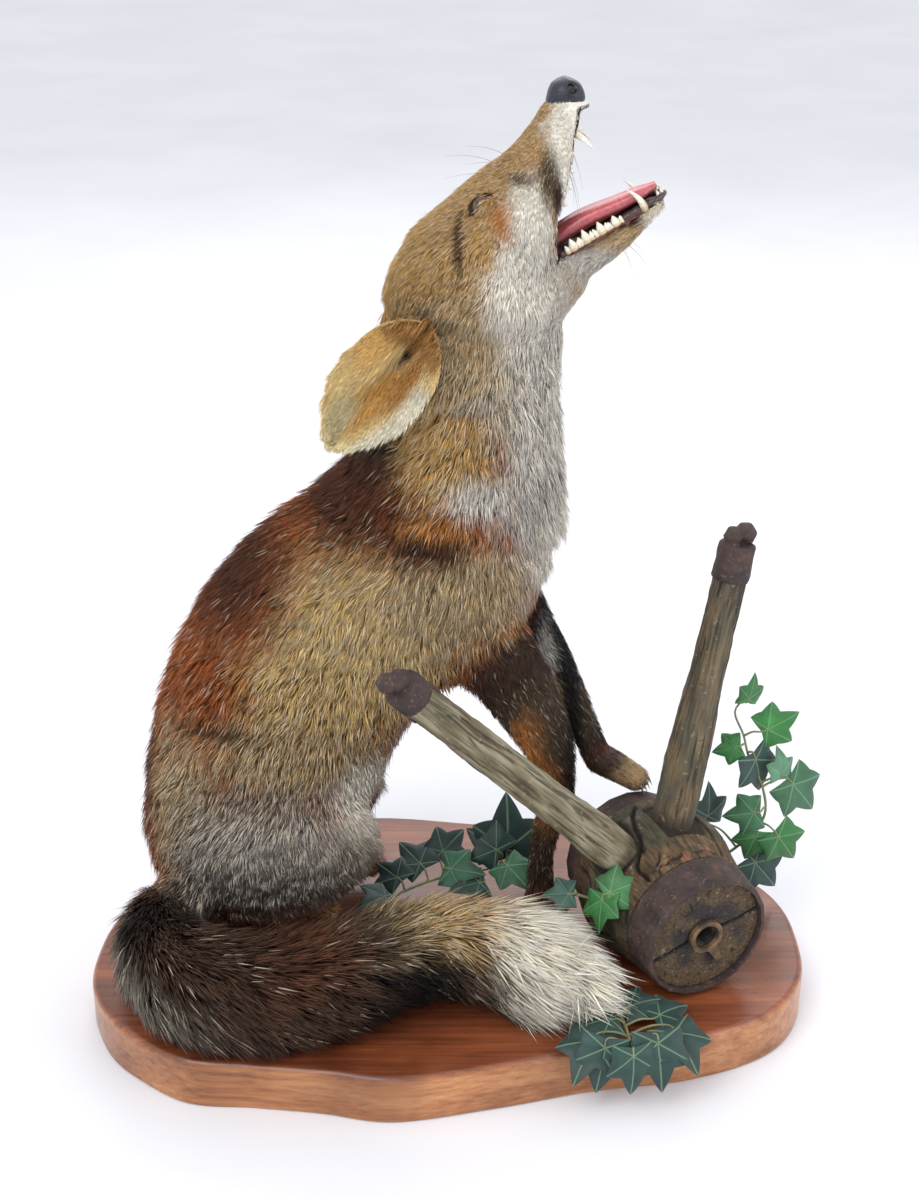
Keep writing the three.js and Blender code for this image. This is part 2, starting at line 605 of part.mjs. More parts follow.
const SPRIG_BACK = {
  stem: [[-52, 16, 42], [-26, 34, 47], [0, 46, 50], [24, 56, 48], [44, 62, 50], [58, 66, 52]],
  leaves: [
    { at: [-42, 20, 50], towards: [-0.7, -0.7, 0.2], facing: [0, -0.5, 1], size: 24 },
    { at: [-34, 38, 54], towards: [-0.7, 0.6, 0.3], facing: [0, -0.6, 0.8], size: 22 },
    { at: [-18, 50, 58], towards: [-0.5, 0.5, 0.35], facing: [0, -0.6, 0.8], size: 25 },
    { at: [4, 40, 60], towards: [0.9, -0.3, 0.1], facing: [0, -0.6, 0.8], size: 25 },
    { at: [-2, 60, 62], towards: [0.6, 0.5, 0.45], facing: [0.1, -0.7, 0.7], size: 24 },
    { at: [44, 64, 62], towards: [0.05, 0.25, 0.95], facing: [0.3, -0.9, 0.2], size: 40 },
    { at: [36, 56, 66], towards: [-0.75, 0.2, 0.5], facing: [0, -0.8, 0.5], size: 26 },
    { at: [44, 44, 60], towards: [0.5, -0.6, -0.2], facing: [0, -0.6, 0.8], size: 24 },
    { at: [24, 32, 54], towards: [-0.8, -0.4, 0.1], facing: [0, -0.6, 0.8], size: 22 },
  ],
};
const SPRIG_HUB = {
  stem: [[74, -34, 84], [86, -40, 92], [97, -50, 96], [106, -56, 104]],
  leaves: [
    { at: [108, -58, 106], towards: [0.9, -0.1, 0.5], facing: [-0.5, -0.75, 0.4], size: 23 },
    { at: [103, -58, 100], towards: [-0.2, -0.6, -0.8], facing: [-0.6, -0.6, 0.5], size: 22 },
    { at: [82, -42, 94], towards: [-0.95, 0, 0], facing: [0, -0.6, 0.8], size: 18 },
  ],
};

// ---- putting it together ----

const colours = {
  oak: ["#a8672f", 0.45, 0], hubWood: ["#6e5a3c", 0.85, 0], spokeWood: ["#938262", 0.9, 0],
  iron: ["#4c3a34", 0.7, 0.6], russet: ["#9c6234", 0.95, 0], greyFur: ["#a3978a", 0.95, 0],
  blackFur: ["#2e241e", 0.95, 0], whiteFur: ["#ece4d4", 0.95, 0], earCream: ["#d8c184", 0.9, 0],
  nose: ["#23262c", 0.4, 0], mouth: ["#c06c6c", 0.45, 0], tooth: ["#efe9d8", 0.3, 0],
  eye: ["#5a3a1c", 0.1, 0], ivy: ["#2f6b3c", 0.55, 0],
};
const materials = Object.fromEntries(
  Object.entries(colours).map(([name, [color, roughness, metalness]]) =>
    [name, new THREE.MeshStandardMaterial({ color, roughness, metalness })]),
);

const model = new THREE.Group();
const taken = new Map();
function add(name, made, material) {
  const mesh = new THREE.Mesh(geometryOf(made), materials[material]);
  mesh.name = name;
  model.add(mesh);
  taken.set(name, made);
  return made;
}

// The slab, hub, bands and spokes.
const slab = add("base_board", solid(board()), "oak");
const slabCutter = slab.translate([0, 0, GAP]);
const barrelCutter = solid(hubBarrel(GAP));
const bandCutters = [solid(frontBand(GAP)), solid(rearBand(GAP))];
const hubCutters = [barrelCutter, ...bandCutters];
add("hub_barrel", trimmed(solid(hubBarrel()), slabCutter), "hubWood");
add("hub_band_front", trimmed(solid(frontBand(0)), slabCutter), "iron");
add("hub_band_rear", trimmed(solid(rearBand(0)), slabCutter), "iron");
add("hub_keeper", solid(hubKeeper()), "iron");
const spokeCutters = [UPRIGHT, LEANING].map((spoke) => solid(spokeWood(spoke, GAP)));
[["upright", UPRIGHT], ["leaning", LEANING]].forEach(([name, spoke]) => {
  add("spoke_" + name, trimmed(solid(spokeWood(spoke)), barrelCutter), "spokeWood");
  add("spoke_" + name + "_ferrule", ferrule(spoke), "iron");
});

// The fox is modelled whole and parted with thin cuts.
const foxForms = (grow) => {
  const form = (stations, options) => solid(loft(stations, { ...options, grow }));
  const hind = (side) => joined(
    form(side(THIGH), { sides: 14, rings: 5, cap: 0.5 }),
    form(side(SHANK), { sides: 10, rings: 3 }),
  );
  return {
    head: form(HEAD, { sides: 18, rings: 11, cap: 0.5 }),
    throat: joined(form(THROAT, { sides: 14, rings: 4, cap: 0.5 }),
      form(LOWER_JAW, { sides: 12, rings: 7, cap: 0.9, square: 0.85 })),
    neck: form(NECK, { sides: 18, rings: 4, cap: 0.2 }),
    trunk: form(TRUNK, { sides: 18, rings: 9, cap: 0.5 }),
    hindRight: joined(hind((s) => s), form(NEAR_HIND_FOOT, { sides: 10, rings: 4 })),
    hindLeft: joined(hind(mirrored), form(FAR_HIND_FOOT, { sides: 10, rings: 4 })),
    foreRight: form(NEAR_FORELEG, { sides: 12, rings: 8 }),
    foreLeft: form(FAR_FORELEG, { sides: 12, rings: 7 }),
    pawRight: form(NEAR_PAW, { sides: 10, rings: 3, square: 0.9 }),
    pawLeft: form(FAR_PAW, { sides: 10, rings: 3, square: 0.9 }),
    tail: form(TAIL, { sides: 12, rings: 18, side: Z_AXIS, square: 0.85, cap: 1 }),
  };
};
const fox = foxForms(0);
const cut = foxForms(GAP);
const ears = [EAR_RIGHT, EAR_LEFT].map((place) => solid(ear(place)));
const eyes = [EYE_AT, [EYE_AT[0], 2 * MIDPLANE - EYE_AT[1], EYE_AT[2]]];
const eyeCutters = eyes.map((centre) => solid(sphere(centre, EYE_RADIUS + GAP)));
const mouth = mouthCavity();
const nose = nosePad();
const noseCutter = noseForm(GAP);
const tongue = solid(loft(TONGUE, { sides: 10, rings: 5, cap: 0.7, square: 0.8 }));
const tongueCutter = solid(loft(TONGUE, { sides: 10, rings: 5, cap: 0.7, square: 0.8, grow: GAP }));
const upperTeeth = dentition(UPPER_TEETH);
const lowerTeeth = dentition(LOWER_TEETH);

add("fox_nose", trimmed(nose, mouth, gum(UPPER_TEETH, GAP)), "nose");
add("fox_tongue", trimmed(tongue, gum(LOWER_TEETH, GAP)), "mouth");
eyes.forEach((centre, i) => add(i ? "fox_eye_left" : "fox_eye_right", solid(sphere(centre, EYE_RADIUS)), "eye"));
add("fox_head", trimmed(fox.head, mouth, gum(UPPER_TEETH, GAP), noseCutter, ...eyeCutters), "russet");
add("fox_lower_jaw", trimmed(fox.throat, mouth, cut.head, gum(LOWER_TEETH, GAP), tongueCutter), "greyFur");
add("fox_upper_teeth", upperTeeth, "tooth");
add("fox_lower_teeth", lowerTeeth, "tooth");
add("fox_neck", trimmed(fox.neck, cut.head, cut.throat), "greyFur");
ears.forEach((made, i) => add(i ? "fox_ear_left" : "fox_ear_right", trimmed(made, cut.head, cut.neck, cut.trunk), "earCream"));
add("fox_foreleg_right", trimmed(fox.foreRight, cut.trunk, cut.pawRight, slabCutter, ...hubCutters), "blackFur");
add("fox_foreleg_left", trimmed(fox.foreLeft, cut.trunk, cut.pawLeft, ...hubCutters), "blackFur");
add("fox_forepaw_right", trimmed(fox.pawRight, slabCutter, ...hubCutters), "blackFur");
add("fox_forepaw_left", trimmed(fox.pawLeft, ...hubCutters, ...spokeCutters), "blackFur");
add("fox_hind_leg_right", trimmed(fox.hindRight, cut.trunk, slabCutter), "greyFur");
add("fox_hind_leg_left", trimmed(fox.hindLeft, cut.trunk, cut.hindRight, slabCutter), "greyFur");
add("fox_trunk", trimmed(fox.trunk, cut.neck, slabCutter), "russet");

// The tail in three lengths: root, middle and white tip.
const tailBody = trimmed(fox.tail, cut.trunk, cut.hindRight, slabCutter, ...hubCutters);
const tailLine = new THREE.CatmullRomCurve3(TAIL.map((s) => vec(s.at)), false, "centripetal");
function tailKnife(share, ahead) {
  const [at, way] = [tailLine.getPoint(share), tailLine.getTangent(share)];
  const reach = 200;
  const block = new THREE.BoxGeometry(2 * reach, 2 * reach, 2 * reach).translate(reach, 0, 0);
  const frame = new THREE.Matrix4().makeBasis(way, Z_AXIS.clone().cross(way), Z_AXIS);
  return solid(block.translate(ahead ? -GAP / 2 : GAP / 2 - 2 * reach, 0, 0).applyMatrix4(frame.setPosition(at)));
}
add("fox_tail_root", trimmed(tailBody, tailKnife(TAIL_CUTS[0], true)), "russet");
add("fox_tail_middle", trimmed(tailBody, tailKnife(TAIL_CUTS[0], false), tailKnife(TAIL_CUTS[1], true)), "blackFur");
add("fox_tail_tip", trimmed(tailBody, tailKnife(TAIL_CUTS[1], false)), "whiteFur");

// The ivy last, cut clear of all that it lies against.
const solids = [...taken.values()];
[["right", SPRIG_RIGHT], ["front", SPRIG_FRONT], ["back", SPRIG_BACK], ["hub", SPRIG_HUB]].forEach(([name, sprig]) => {
  add("ivy_" + name, trimmed(ivySprig(sprig), slabCutter, ...hubCutters, ...spokeCutters, ...solids), "ivy");
});

export default model;
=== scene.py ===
import math

import bmesh
import bpy
import numpy as np
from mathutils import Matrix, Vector
from mathutils.bvhtree import BVHTree


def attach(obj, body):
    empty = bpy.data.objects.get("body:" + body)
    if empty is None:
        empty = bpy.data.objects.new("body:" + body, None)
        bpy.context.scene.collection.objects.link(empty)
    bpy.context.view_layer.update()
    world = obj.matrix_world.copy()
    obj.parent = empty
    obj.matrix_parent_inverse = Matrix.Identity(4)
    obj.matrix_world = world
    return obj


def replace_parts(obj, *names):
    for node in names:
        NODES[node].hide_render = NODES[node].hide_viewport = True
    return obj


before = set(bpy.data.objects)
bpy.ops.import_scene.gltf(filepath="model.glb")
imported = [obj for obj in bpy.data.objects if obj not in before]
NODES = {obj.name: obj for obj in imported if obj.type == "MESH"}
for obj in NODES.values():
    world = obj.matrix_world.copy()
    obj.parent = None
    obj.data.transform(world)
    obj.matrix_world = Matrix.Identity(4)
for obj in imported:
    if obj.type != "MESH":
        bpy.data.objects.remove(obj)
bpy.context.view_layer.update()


# ---- Camera, lights and floor ----
# The mount stands on a plain pale floor in soft daylight, seen from its right side and a little above.

scene = bpy.context.scene
scene.view_settings.view_transform = "Standard"
bpy.ops.object.select_all(action="DESELECT")

bpy.ops.object.camera_add(location=(0.010, -1.097, 0.800), rotation=(math.radians(65), 0, 0))
scene.camera = bpy.context.object
scene.camera.data.sensor_width = 36
scene.camera.data.lens = 57.0


def soft_light(name, place, aim, size, power, colour):
    bpy.ops.object.light_add(type="AREA", location=place)
    lamp = bpy.context.object
    lamp.name = name
    lamp.data.size = size
    lamp.data.energy = power
    lamp.data.color = colour
    lamp.rotation_euler = (Vector(aim) - Vector(place)).to_track_quat("-Z", "Y").to_euler()


soft_light("key_light", (-0.9, -1.3, 1.9), (0, 0, 0.25), 1.3, 24, (1.0, 0.985, 0.96))
soft_light("fill_light", (1.6, -0.9, 1.1), (0, 0, 0.3), 1.5, 12, (0.95, 0.97, 1.0))
soft_light("back_light", (0.2, 1.5, 1.6), (0, 0, 0.3), 1.6, 14, (1.0, 1.0, 1.0))

scene.world = bpy.data.worlds.new("soft_room")
scene.world.use_nodes = True
scene.world.node_tree.nodes["Background"].inputs["Color"].default_value = (0.955, 0.965, 0.985, 1)
scene.world.node_tree.nodes["Background"].inputs["Strength"].default_value = 0.98


def linear(colour):
    """An sRGB colour of 0 to 255 as the linear RGB that shaders and colour attributes hold."""
    share = np.asarray(colour, dtype=float) / 255
    return np.where(share <= 0.04045, share / 12.92, ((share + 0.055) / 1.055) ** 2.4)


def rgba(colour):
    return (*linear(colour), 1.0)


class Finish:
    """A material under construction, with short ways to add and join its nodes."""

    def __init__(self, name, roughness, **sockets):
        self.material = bpy.data.materials.new(name)
        self.material.use_nodes = True
        self.tree = self.material.node_tree
        self.shader = self.tree.nodes["Principled BSDF"]
        self.shader.inputs["Roughness"].default_value = roughness
        for socket, value in sockets.items():
            self.shader.inputs[socket.replace("_", " ")].default_value = value
        self.place = self.tree.nodes.new("ShaderNodeTexCoord").outputs["Object"]

    def node(self, kind, **settings):
        made = self.tree.nodes.new("ShaderNode" + kind)
        for key, value in settings.items():
            setattr(made, key, value)
        return made

    def join(self, source, target):
        self.tree.links.new(source, target)

    def attribute(self, name, output="Color"):
        return self.node("Attribute", attribute_name=name).outputs[output]

    def scaled(self, scale):
        mapping = self.node("Mapping")
        mapping.inputs["Scale"].default_value = scale
        self.join(self.place, mapping.inputs["Vector"])
        return mapping.outputs["Vector"]

    def noise(self, scale, detail=4, vector=None, distortion=0.0, roughness=0.55):
        made = self.node("TexNoise")
        made.inputs["Scale"].default_value = scale
        made.inputs["Detail"].default_value = detail
        made.inputs["Distortion"].default_value = distortion
        made.inputs["Roughness"].default_value = roughness
        self.join(vector or self.place, made.inputs["Vector"])
        return made.outputs["Fac"]

    def ramp(self, source, stops):
        made = self.node("ValToRGB")
        while len(made.color_ramp.elements) < len(stops):
            made.color_ramp.elements.new(0.5)
        for element, (position, colour) in zip(made.color_ramp.elements, stops):
            element.position = position
            element.color = rgba(colour)
        self.join(source, made.inputs["Fac"])
        return made.outputs["Color"]

    def level(self, source, low, high, out_low=0.0, out_high=1.0):
        made = self.node("MapRange", clamp=True)
        for socket, value in zip(made.inputs[1:5], (low, high, out_low, out_high)):
            socket.default_value = value
        self.join(source, made.inputs["Value"])
        return made.outputs["Result"]

    def mixed(self, share, first, second, blend="MIX"):
        made = self.node("Mix", data_type="RGBA", blend_type=blend)
        for socket, value in ((made.inputs[0], share), (made.inputs[6], first), (made.inputs[7], second)):
            if isinstance(value, bpy.types.NodeSocket):
                self.join(value, socket)
            else:
                socket.default_value = value if isinstance(value, float) else rgba(value)
        return made.outputs[2]

    def maths(self, first, second, operation="ADD"):
        made = self.node("Math", operation=operation)
        for socket, value in zip(made.inputs, (first, second)):
            if isinstance(value, bpy.types.NodeSocket):
                self.join(value, socket)
            else:
                socket.default_value = value
        return made.outputs["Value"]

    def along(self, axis):
        split = self.node("SeparateXYZ")
        self.join(self.place, split.inputs["Vector"])
        return split.outputs[axis]

    def colour(self, source):
        self.join(source, self.shader.inputs["Base Color"])

    def roughness(self, source):
        self.join(source, self.shader.inputs["Roughness"])

    def bump(self, source, distance, strength=1.0):
        made = self.node("Bump")
        made.inputs["Strength"].default_value = strength
        made.inputs["Distance"].default_value = distance
        self.join(source, made.inputs["Height"])
        self.join(made.outputs["Normal"], self.shader.inputs["Normal"])


bpy.ops.mesh.primitive_plane_add(size=40, location=(0, 0, 0))
floor = bpy.context.object
floor.name = "floor"
cloth_white = Finish("pale_floor", 0.9)
cloth_white.colour(cloth_white.ramp(cloth_white.noise(3), [(0.3, (226, 227, 233)), (0.7, (234, 234, 239))]))
floor.data.materials.append(cloth_white.material)


# ---- The base board ----
# A thick hardwood slab, sawn along a natural wavy outline and sanded round at its top edge. It is stained
# red-brown on top, paler round the rim, varnished all over, and carries everything else.

MM = 0.001
BOARD_OUTLINE = [
    (-237, -45), (-214, -98), (-168, -136), (-118, -144), (-76, -149), (-30, -157), (33, -144),
    (90, -129), (158, -117), (211, -91), (238, -52), (243, 0), (231, 53), (190, 98), (125, 128),
    (40, 143), (-50, 154), (-130, 142), (-190, 98), (-228, 26),
]
BOARD_LAYERS = (1.5, 3, 4, 5, 5, 5, 5, 5.5)
EDGE_ROUND = 4.5
FOOT_INSET = 1.6
RIM_POINTS = 280
RIM_WANDER = 0.7
RIM_WAVE = 75
TOP_STAIN = [(0.36, (80, 42, 26)), (0.47, (120, 63, 38)), (0.56, (139, 75, 44)), (0.66, (163, 94, 57))]
RIM_STAIN = [(0.36, (118, 68, 38)), (0.45, (156, 98, 58)), (0.54, (180, 120, 74)), (0.66, (200, 146, 100))]
STAIN_TURNS = (0.0305, 0.0338)  # the heights between which the rim's stain gives way to the top's, in metres
WAVES = 7  # in every wandering value


def only(piece):
    bpy.ops.object.select_all(action="DESELECT")
    piece.select_set(True)
    bpy.context.view_layer.objects.active = piece


def places(piece):
    flat = np.empty(3 * len(piece.data.vertices))
    piece.data.vertices.foreach_get("co", flat)
    return flat.reshape(-1, 3)


def move_to(piece, spots):
    piece.data.vertices.foreach_set("co", np.ascontiguousarray(spots).ravel())
    piece.data.update()


def unit(vectors):
    return vectors / np.maximum(np.linalg.norm(vectors, axis=-1, keepdims=True), 1e-9)


def step(low, high, value):
    share = np.clip((value - low) / (high - low), 0, 1)
    return share * share * (3 - 2 * share)


def wobble(points, size, seed):
    """A smooth wandering value of about -1 to 1 whose patches are about size millimetres across."""
    draw = np.random.default_rng(seed)
    total = np.zeros(len(points))
    for _ in range(WAVES):
        wave = unit(draw.normal(size=3)) * 2 * math.pi / (size * MM) * draw.uniform(0.6, 1.5)
        total += np.sin(points @ wave + draw.uniform(0, 2 * math.pi))
    return total / 3.2


def curve(a, b, c, d, t):
    """Points between b and c on the smooth curve through a, b, c and d."""
    return 0.5 * (2 * b + (c - a) * t + (2 * a - 5 * b + 4 * c - d) * t**2 + (3 * b - a - 3 * c + d) * t**3)


def closed_line(marks, count):
    """Points in metres along a smooth closed line through a few marks."""
    marks = np.array(marks, dtype=float) * MM
    share = np.arange(count) * len(marks) / count
    first = share.astype(int)
    t = (share - first)[:, None]
    return curve(*(marks[(first + k) % len(marks)] for k in (-1, 0, 1, 2)), t)


bpy.ops.object.select_all(action="DESELECT")
bpy.ops.mesh.primitive_circle_add(vertices=RIM_POINTS, radius=1, fill_type="NGON")
board = bpy.context.object
board.name = "slab_with_rounded_rim"
board_rim = closed_line(BOARD_OUTLINE, RIM_POINTS)
move_to(board, np.column_stack([board_rim, np.zeros(RIM_POINTS)]))
bpy.ops.object.mode_set(mode="EDIT")
bpy.ops.mesh.select_all(action="SELECT")
for rise in BOARD_LAYERS:
    bpy.ops.mesh.extrude_region_move(TRANSFORM_OT_translate={"value": (0, 0, rise * MM)})
bpy.ops.mesh.bevel(offset=EDGE_ROUND * MM, segments=5)
bpy.ops.mesh.select_all(action="SELECT")
bpy.ops.mesh.normals_make_consistent(inside=False)
bpy.ops.object.mode_set(mode="OBJECT")
spots = places(board)
outwards = unit(spots * (1, 1, 0))
spots += outwards * (wobble(spots * (1, 1, 1.8), RIM_WAVE, 3) * RIM_WANDER * MM)[:, None]
spots -= outwards * (step(1, 0, spots[:, 2] / MM) * FOOT_INSET * MM)[:, None]
move_to(board, spots)
bpy.ops.object.shade_smooth_by_angle(angle=math.radians(40))

varnished = Finish("varnished_slab", 0.34, Coat_Weight=0.25, Coat_Roughness=0.2)
fibre = varnished.noise(1, detail=9, vector=varnished.scaled((12, 260, 320)), distortion=0.3, roughness=0.7)
bands = varnished.noise(1, detail=3, vector=varnished.scaled((3, 24, 46)), distortion=1.2)
figure = varnished.maths(varnished.maths(fibre, 0.55, "MULTIPLY"), varnished.maths(bands, 0.45, "MULTIPLY"))
top = varnished.ramp(figure, TOP_STAIN)
rim = varnished.ramp(figure, RIM_STAIN)
stain = varnished.mixed(varnished.level(varnished.along("Z"), *STAIN_TURNS), rim, top)
cloud = varnished.ramp(varnished.noise(11), [(0.3, (196, 190, 186)), (0.6, (255, 255, 255))])
varnished.colour(varnished.mixed(1.0, stain, cloud, "MULTIPLY"))
varnished.roughness(varnished.level(varnished.noise(45), 0.3, 0.7, 0.26, 0.42))
varnished.bump(figure, 0.0005)
board.data.materials.append(varnished.material)
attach(board, "root")
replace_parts(board, "base_board")


# ---- The hub ----
# The nave of an old cart wheel, turned from one block and split with age. Its ends are held by iron
# bands, its front face is sunk and split right across, and an iron keyhole plate is let into the middle.

HUB_FRONT = np.array([171, -73, 80.5])
HUB_AZIMUTH = math.radians(65)
HUB_DIP = math.radians(3)
HUB_SIDES = 260
HUB_CENTRE_DEPTH = 65
FACE_DEPTH = 4
FACE_RADIUS = 41
BORE_RADIUS = 8.5
UNROLLED_RADIUS = 50  # the body's splits are drawn on it unrolled at this radius
# the colour of the painted shade in the hub's splits and sockets, and of the rust stain on its body
SPLIT_SHADE, STAIN_RED = (26, 22, 20), (176, 112, 92)
# the spokes' sockets: the angle round the hub (degrees), half the width across and along it (mm)
SOCKETS = ((46, 13.8, 15.4), (101, 13.6, 15))
SOCKET_RADIUS = 52
# each profile mark: depth and radius. Each split: its marks (degrees and depth, or across and up the face),
# how wide half of it is and how deep it goes
BODY_PROFILE = [(25.3, 46.5), (42, 50), (55, 53.4), (65, 54), (78, 52.4), (95.7, 47.5)]
SPLITS = [
    ([(84, 92), (74, 80), (69, 70), (66, 56), (56, 47), (47, 40), (50, 27)], 1.3, 5),
    ([(38, 52), (30, 40), (27, 33), (17, 29), (4, 27)], 1.1, 3.5),
    ([(16, 44), (12, 60), (17, 74), (14, 92)], 0.9, 3),
    ([(62, 26), (60, 32), (67, 36), (71, 41)], 0.6, 2),
    ([(70, 26), (72, 31), (82, 30), (86, 34)], 0.6, 1.8),
    ([(52, 31), (64, 31), (76, 28.5)], 0.5, 1.6),
    ([(92, 29), (104, 31), (118, 28)], 0.5, 1.5),
    ([(122, 27), (126, 44), (119, 60), (124, 93)], 0.9, 3),
    ([(150, 27), (146, 52), (152, 70)], 0.7, 2.4),
    ([(178, 30), (184, 62), (180, 94)], 0.9, 3),
    ([(214, 27), (209, 48), (216, 80)], 0.7, 2.6),
    ([(246, 40), (251, 66), (247, 94)], 0.8, 2.8),
    ([(282, 27), (277, 58), (284, 90)], 0.9, 3),
    ([(314, 28), (320, 50), (316, 78)], 0.7, 2.4),
    ([(342, 36), (338, 60), (345, 93)], 0.8, 2.6),
]
FACE_SPLITS = [
    ([(-41, 11.3), (-24, 6.2), (-9, 3)], 1.3, 2.6),
    ([(9, -2), (22, -5.6), (41, -11.3)], 1.3, 2.6),
    ([(-21, -17), (-25, -21)], 0.5, 1.6),
    ([(10, 20), (14, 30)], 0.4, 1.0),
]

level_run = np.array([math.cos(HUB_AZIMUTH), -math.sin(HUB_AZIMUTH), 0.0])
hub_axis = level_run * math.cos(HUB_DIP) - np.array([0, 0, math.sin(HUB_DIP)])
hub_side = np.array([-math.sin(HUB_AZIMUTH), -math.cos(HUB_AZIMUTH), 0.0])
hub_up = level_run * math.sin(HUB_DIP) + np.array([0, 0, math.cos(HUB_DIP)])
HUB_WAYS = np.array([hub_side, hub_up, hub_axis])


def on_hub(local):
    """Where points of the hub's own frame (side, up, towards its front; mm) are in the mount, in metres."""
    return (HUB_FRONT + np.asarray(local) @ HUB_WAYS) * MM


def sampled(line, count=120):
    """Evenly spread points along a line through a few marks, in metres, and its direction at each."""
    marks = np.array(line, dtype=float) * MM
    if len(marks) > 3:
        padded = np.vstack([2 * marks[0] - marks[1], marks, 2 * marks[-1] - marks[-2]])
        t = np.linspace(0, 1, 24, endpoint=False)[:, None]
        dense = [curve(*four, t) for four in zip(padded, padded[1:], padded[2:], padded[3:])]
        marks = np.vstack(dense + [marks[-1:]])
    reach = np.concatenate([[0], np.cumsum(np.linalg.norm(np.diff(marks, axis=0), axis=1))])
    even = np.linspace(0, reach[-1], count)
    points = np.stack([np.interp(even, reach, marks[:, k]) for k in range(marks.shape[1])], axis=1)
    return points, unit(np.gradient(points, axis=0))


def skinned(rings, first, last):
    """The points and outward triangles of a closed form through rings of points and a point at each end."""
    count, sides = rings.shape[:2]
    points = np.concatenate([rings.reshape(-1, 3), [first], [last]])
    j = np.arange(sides)
    k = (j + 1) % sides
    end = (count - 1) * sides
    faces = [np.stack([np.full(sides, count * sides), k, j], axis=1)]
    for i in range(count - 1):
        a, b = i * sides + j, i * sides + k
        faces += [np.stack([a, b, b + sides], axis=1), np.stack([a, b + sides, a + sides], axis=1)]
    faces.append(np.stack([np.full(sides, count * sides + 1), end + j, end + k], axis=1))
    faces = np.concatenate(faces)
    a, b, c = (points[faces[:, n]] for n in range(3))
    return points, faces if np.einsum("ij,ij", a, np.cross(b, c)) > 0 else faces[:, ::-1]


def set_triangles(data, points, faces):
    """Fills an empty mesh with triangles."""
    data.vertices.add(len(points))
    data.vertices.foreach_set("co", np.ascontiguousarray(points).ravel())
    data.loops.add(faces.size)
    data.loops.foreach_set("vertex_index", np.ascontiguousarray(faces).ravel())
    data.polygons.add(len(faces))
    data.polygons.foreach_set("loop_start", np.arange(len(faces)) * 3)
    data.polygons.foreach_set("loop_total", np.full(len(faces), 3))
    data.polygons.foreach_set("use_smooth", np.full(len(faces), True))
    data.update()


def add_colours(piece, tones):
    """Gives each vertex of a piece its colour."""
    layer = piece.data.color_attributes.new("own_colour", "FLOAT_COLOR", "POINT")
    layer.data.foreach_set("color", np.concatenate([tones, np.ones((len(tones), 1))], axis=1).ravel())


def add_place(piece, name, local):
    """Gives each vertex its place in the block or on the sheet that the piece was cut from."""
    layer = piece.data.attributes.new(name, "FLOAT_VECTOR", "POINT")
    layer.data.foreach_set("vector", np.ascontiguousarray(local).ravel())


def built(name, shapes, finish):
    """One piece made of several forms, each with its points, triangles and colours."""
    starts = np.cumsum([0] + [len(shape[0]) for shape in shapes])
    faces = [shape[1] + start for shape, start in zip(shapes, starts)]
    data = bpy.data.meshes.new(name)
    set_triangles(data, np.concatenate([shape[0] for shape in shapes]), np.concatenate(faces))
    made = bpy.data.objects.new(name, data)
    scene.collection.objects.link(made)
    add_colours(made, np.concatenate([shape[2] for shape in shapes]))
    data.materials.append(finish.material)
    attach(made, "root")
    return made


def groove(spots, lines):
    """How deep each spot of a surface (mm) lies in the splits drawn on it, and how much painted shade they
    give it.
    """
    deep = np.zeros(len(spots))
    dark = np.zeros(len(spots))
    for marks, half, depth in lines:
        line = sampled(marks, 40)[0] / MM
        length = np.linalg.norm(np.diff(line, axis=0), axis=1).sum()
        gap = np.full(len(spots), 1e9)
        share = np.zeros(len(spots))
        for i, (a, b) in enumerate(zip(line, line[1:])):
            along = np.clip((spots - a) @ (b - a) / max((b - a) @ (b - a), 1e-9), 0, 1)
            apart = np.linalg.norm(spots - a - along[:, None] * (b - a), axis=1)
            nearer = apart < gap
            gap[nearer] = apart[nearer]
            share[nearer] = (i + along[nearer]) / (len(line) - 1)
        ends = step(0, 4 / length, share) * step(1, 1 - 4 / length, share) * 0.8 + 0.2
        deep = np.maximum(deep, depth * ends * step(half * 1.6, 0, gap))
        dark = np.maximum(dark, ends * step(half * 2.2, half * 0.5, gap))
    return deep, dark


def aged_wood(name, streak, check):
    """Bare old wood: its piece's own colours, darker and lighter fibres along the grain, fine dark checks."""
    finish = Finish(name, 0.86)
    finish.place = finish.attribute("grain_place", "Vector")
    base = finish.attribute("own_colour")
    fibre = finish.noise(1, detail=6, vector=finish.scaled((520, 520, streak)))
    line = finish.noise(1, detail=4, vector=finish.scaled((170, 170, check)), distortion=0.9)
    fleck = finish.noise(210, detail=5)
    tone = finish.ramp(fibre, [(0.3, (150, 146, 138)), (0.5, (222, 220, 216)), (0.7, (255, 255, 255))])
    wood = finish.mixed(1.0, base, tone, "MULTIPLY")
    wood = finish.mixed(finish.level(line, 0.40, 0.33, 0.0, 0.7), wood, (38, 29, 22))
    wood = finish.mixed(finish.level(fleck, 0.62, 0.72, 0.0, 0.35), wood, (186, 178, 156))
    finish.colour(wood)
    relief = finish.maths(fibre, finish.level(line, 0.33, 0.42), "ADD")
    finish.bump(relief, 0.0009)
    return finish


def finish_node(name, finish):
    """Gives a carried-over CAD node its material."""
    for slot in NODES[name].material_slots:
        slot.link = "OBJECT"
        slot.material = finish.material


def tinge(tones, colour, share):
    """The tones of some vertices drawn towards a colour, each by its share."""
    return tones + (linear(colour) - tones) * np.reshape(share, (-1, 1))


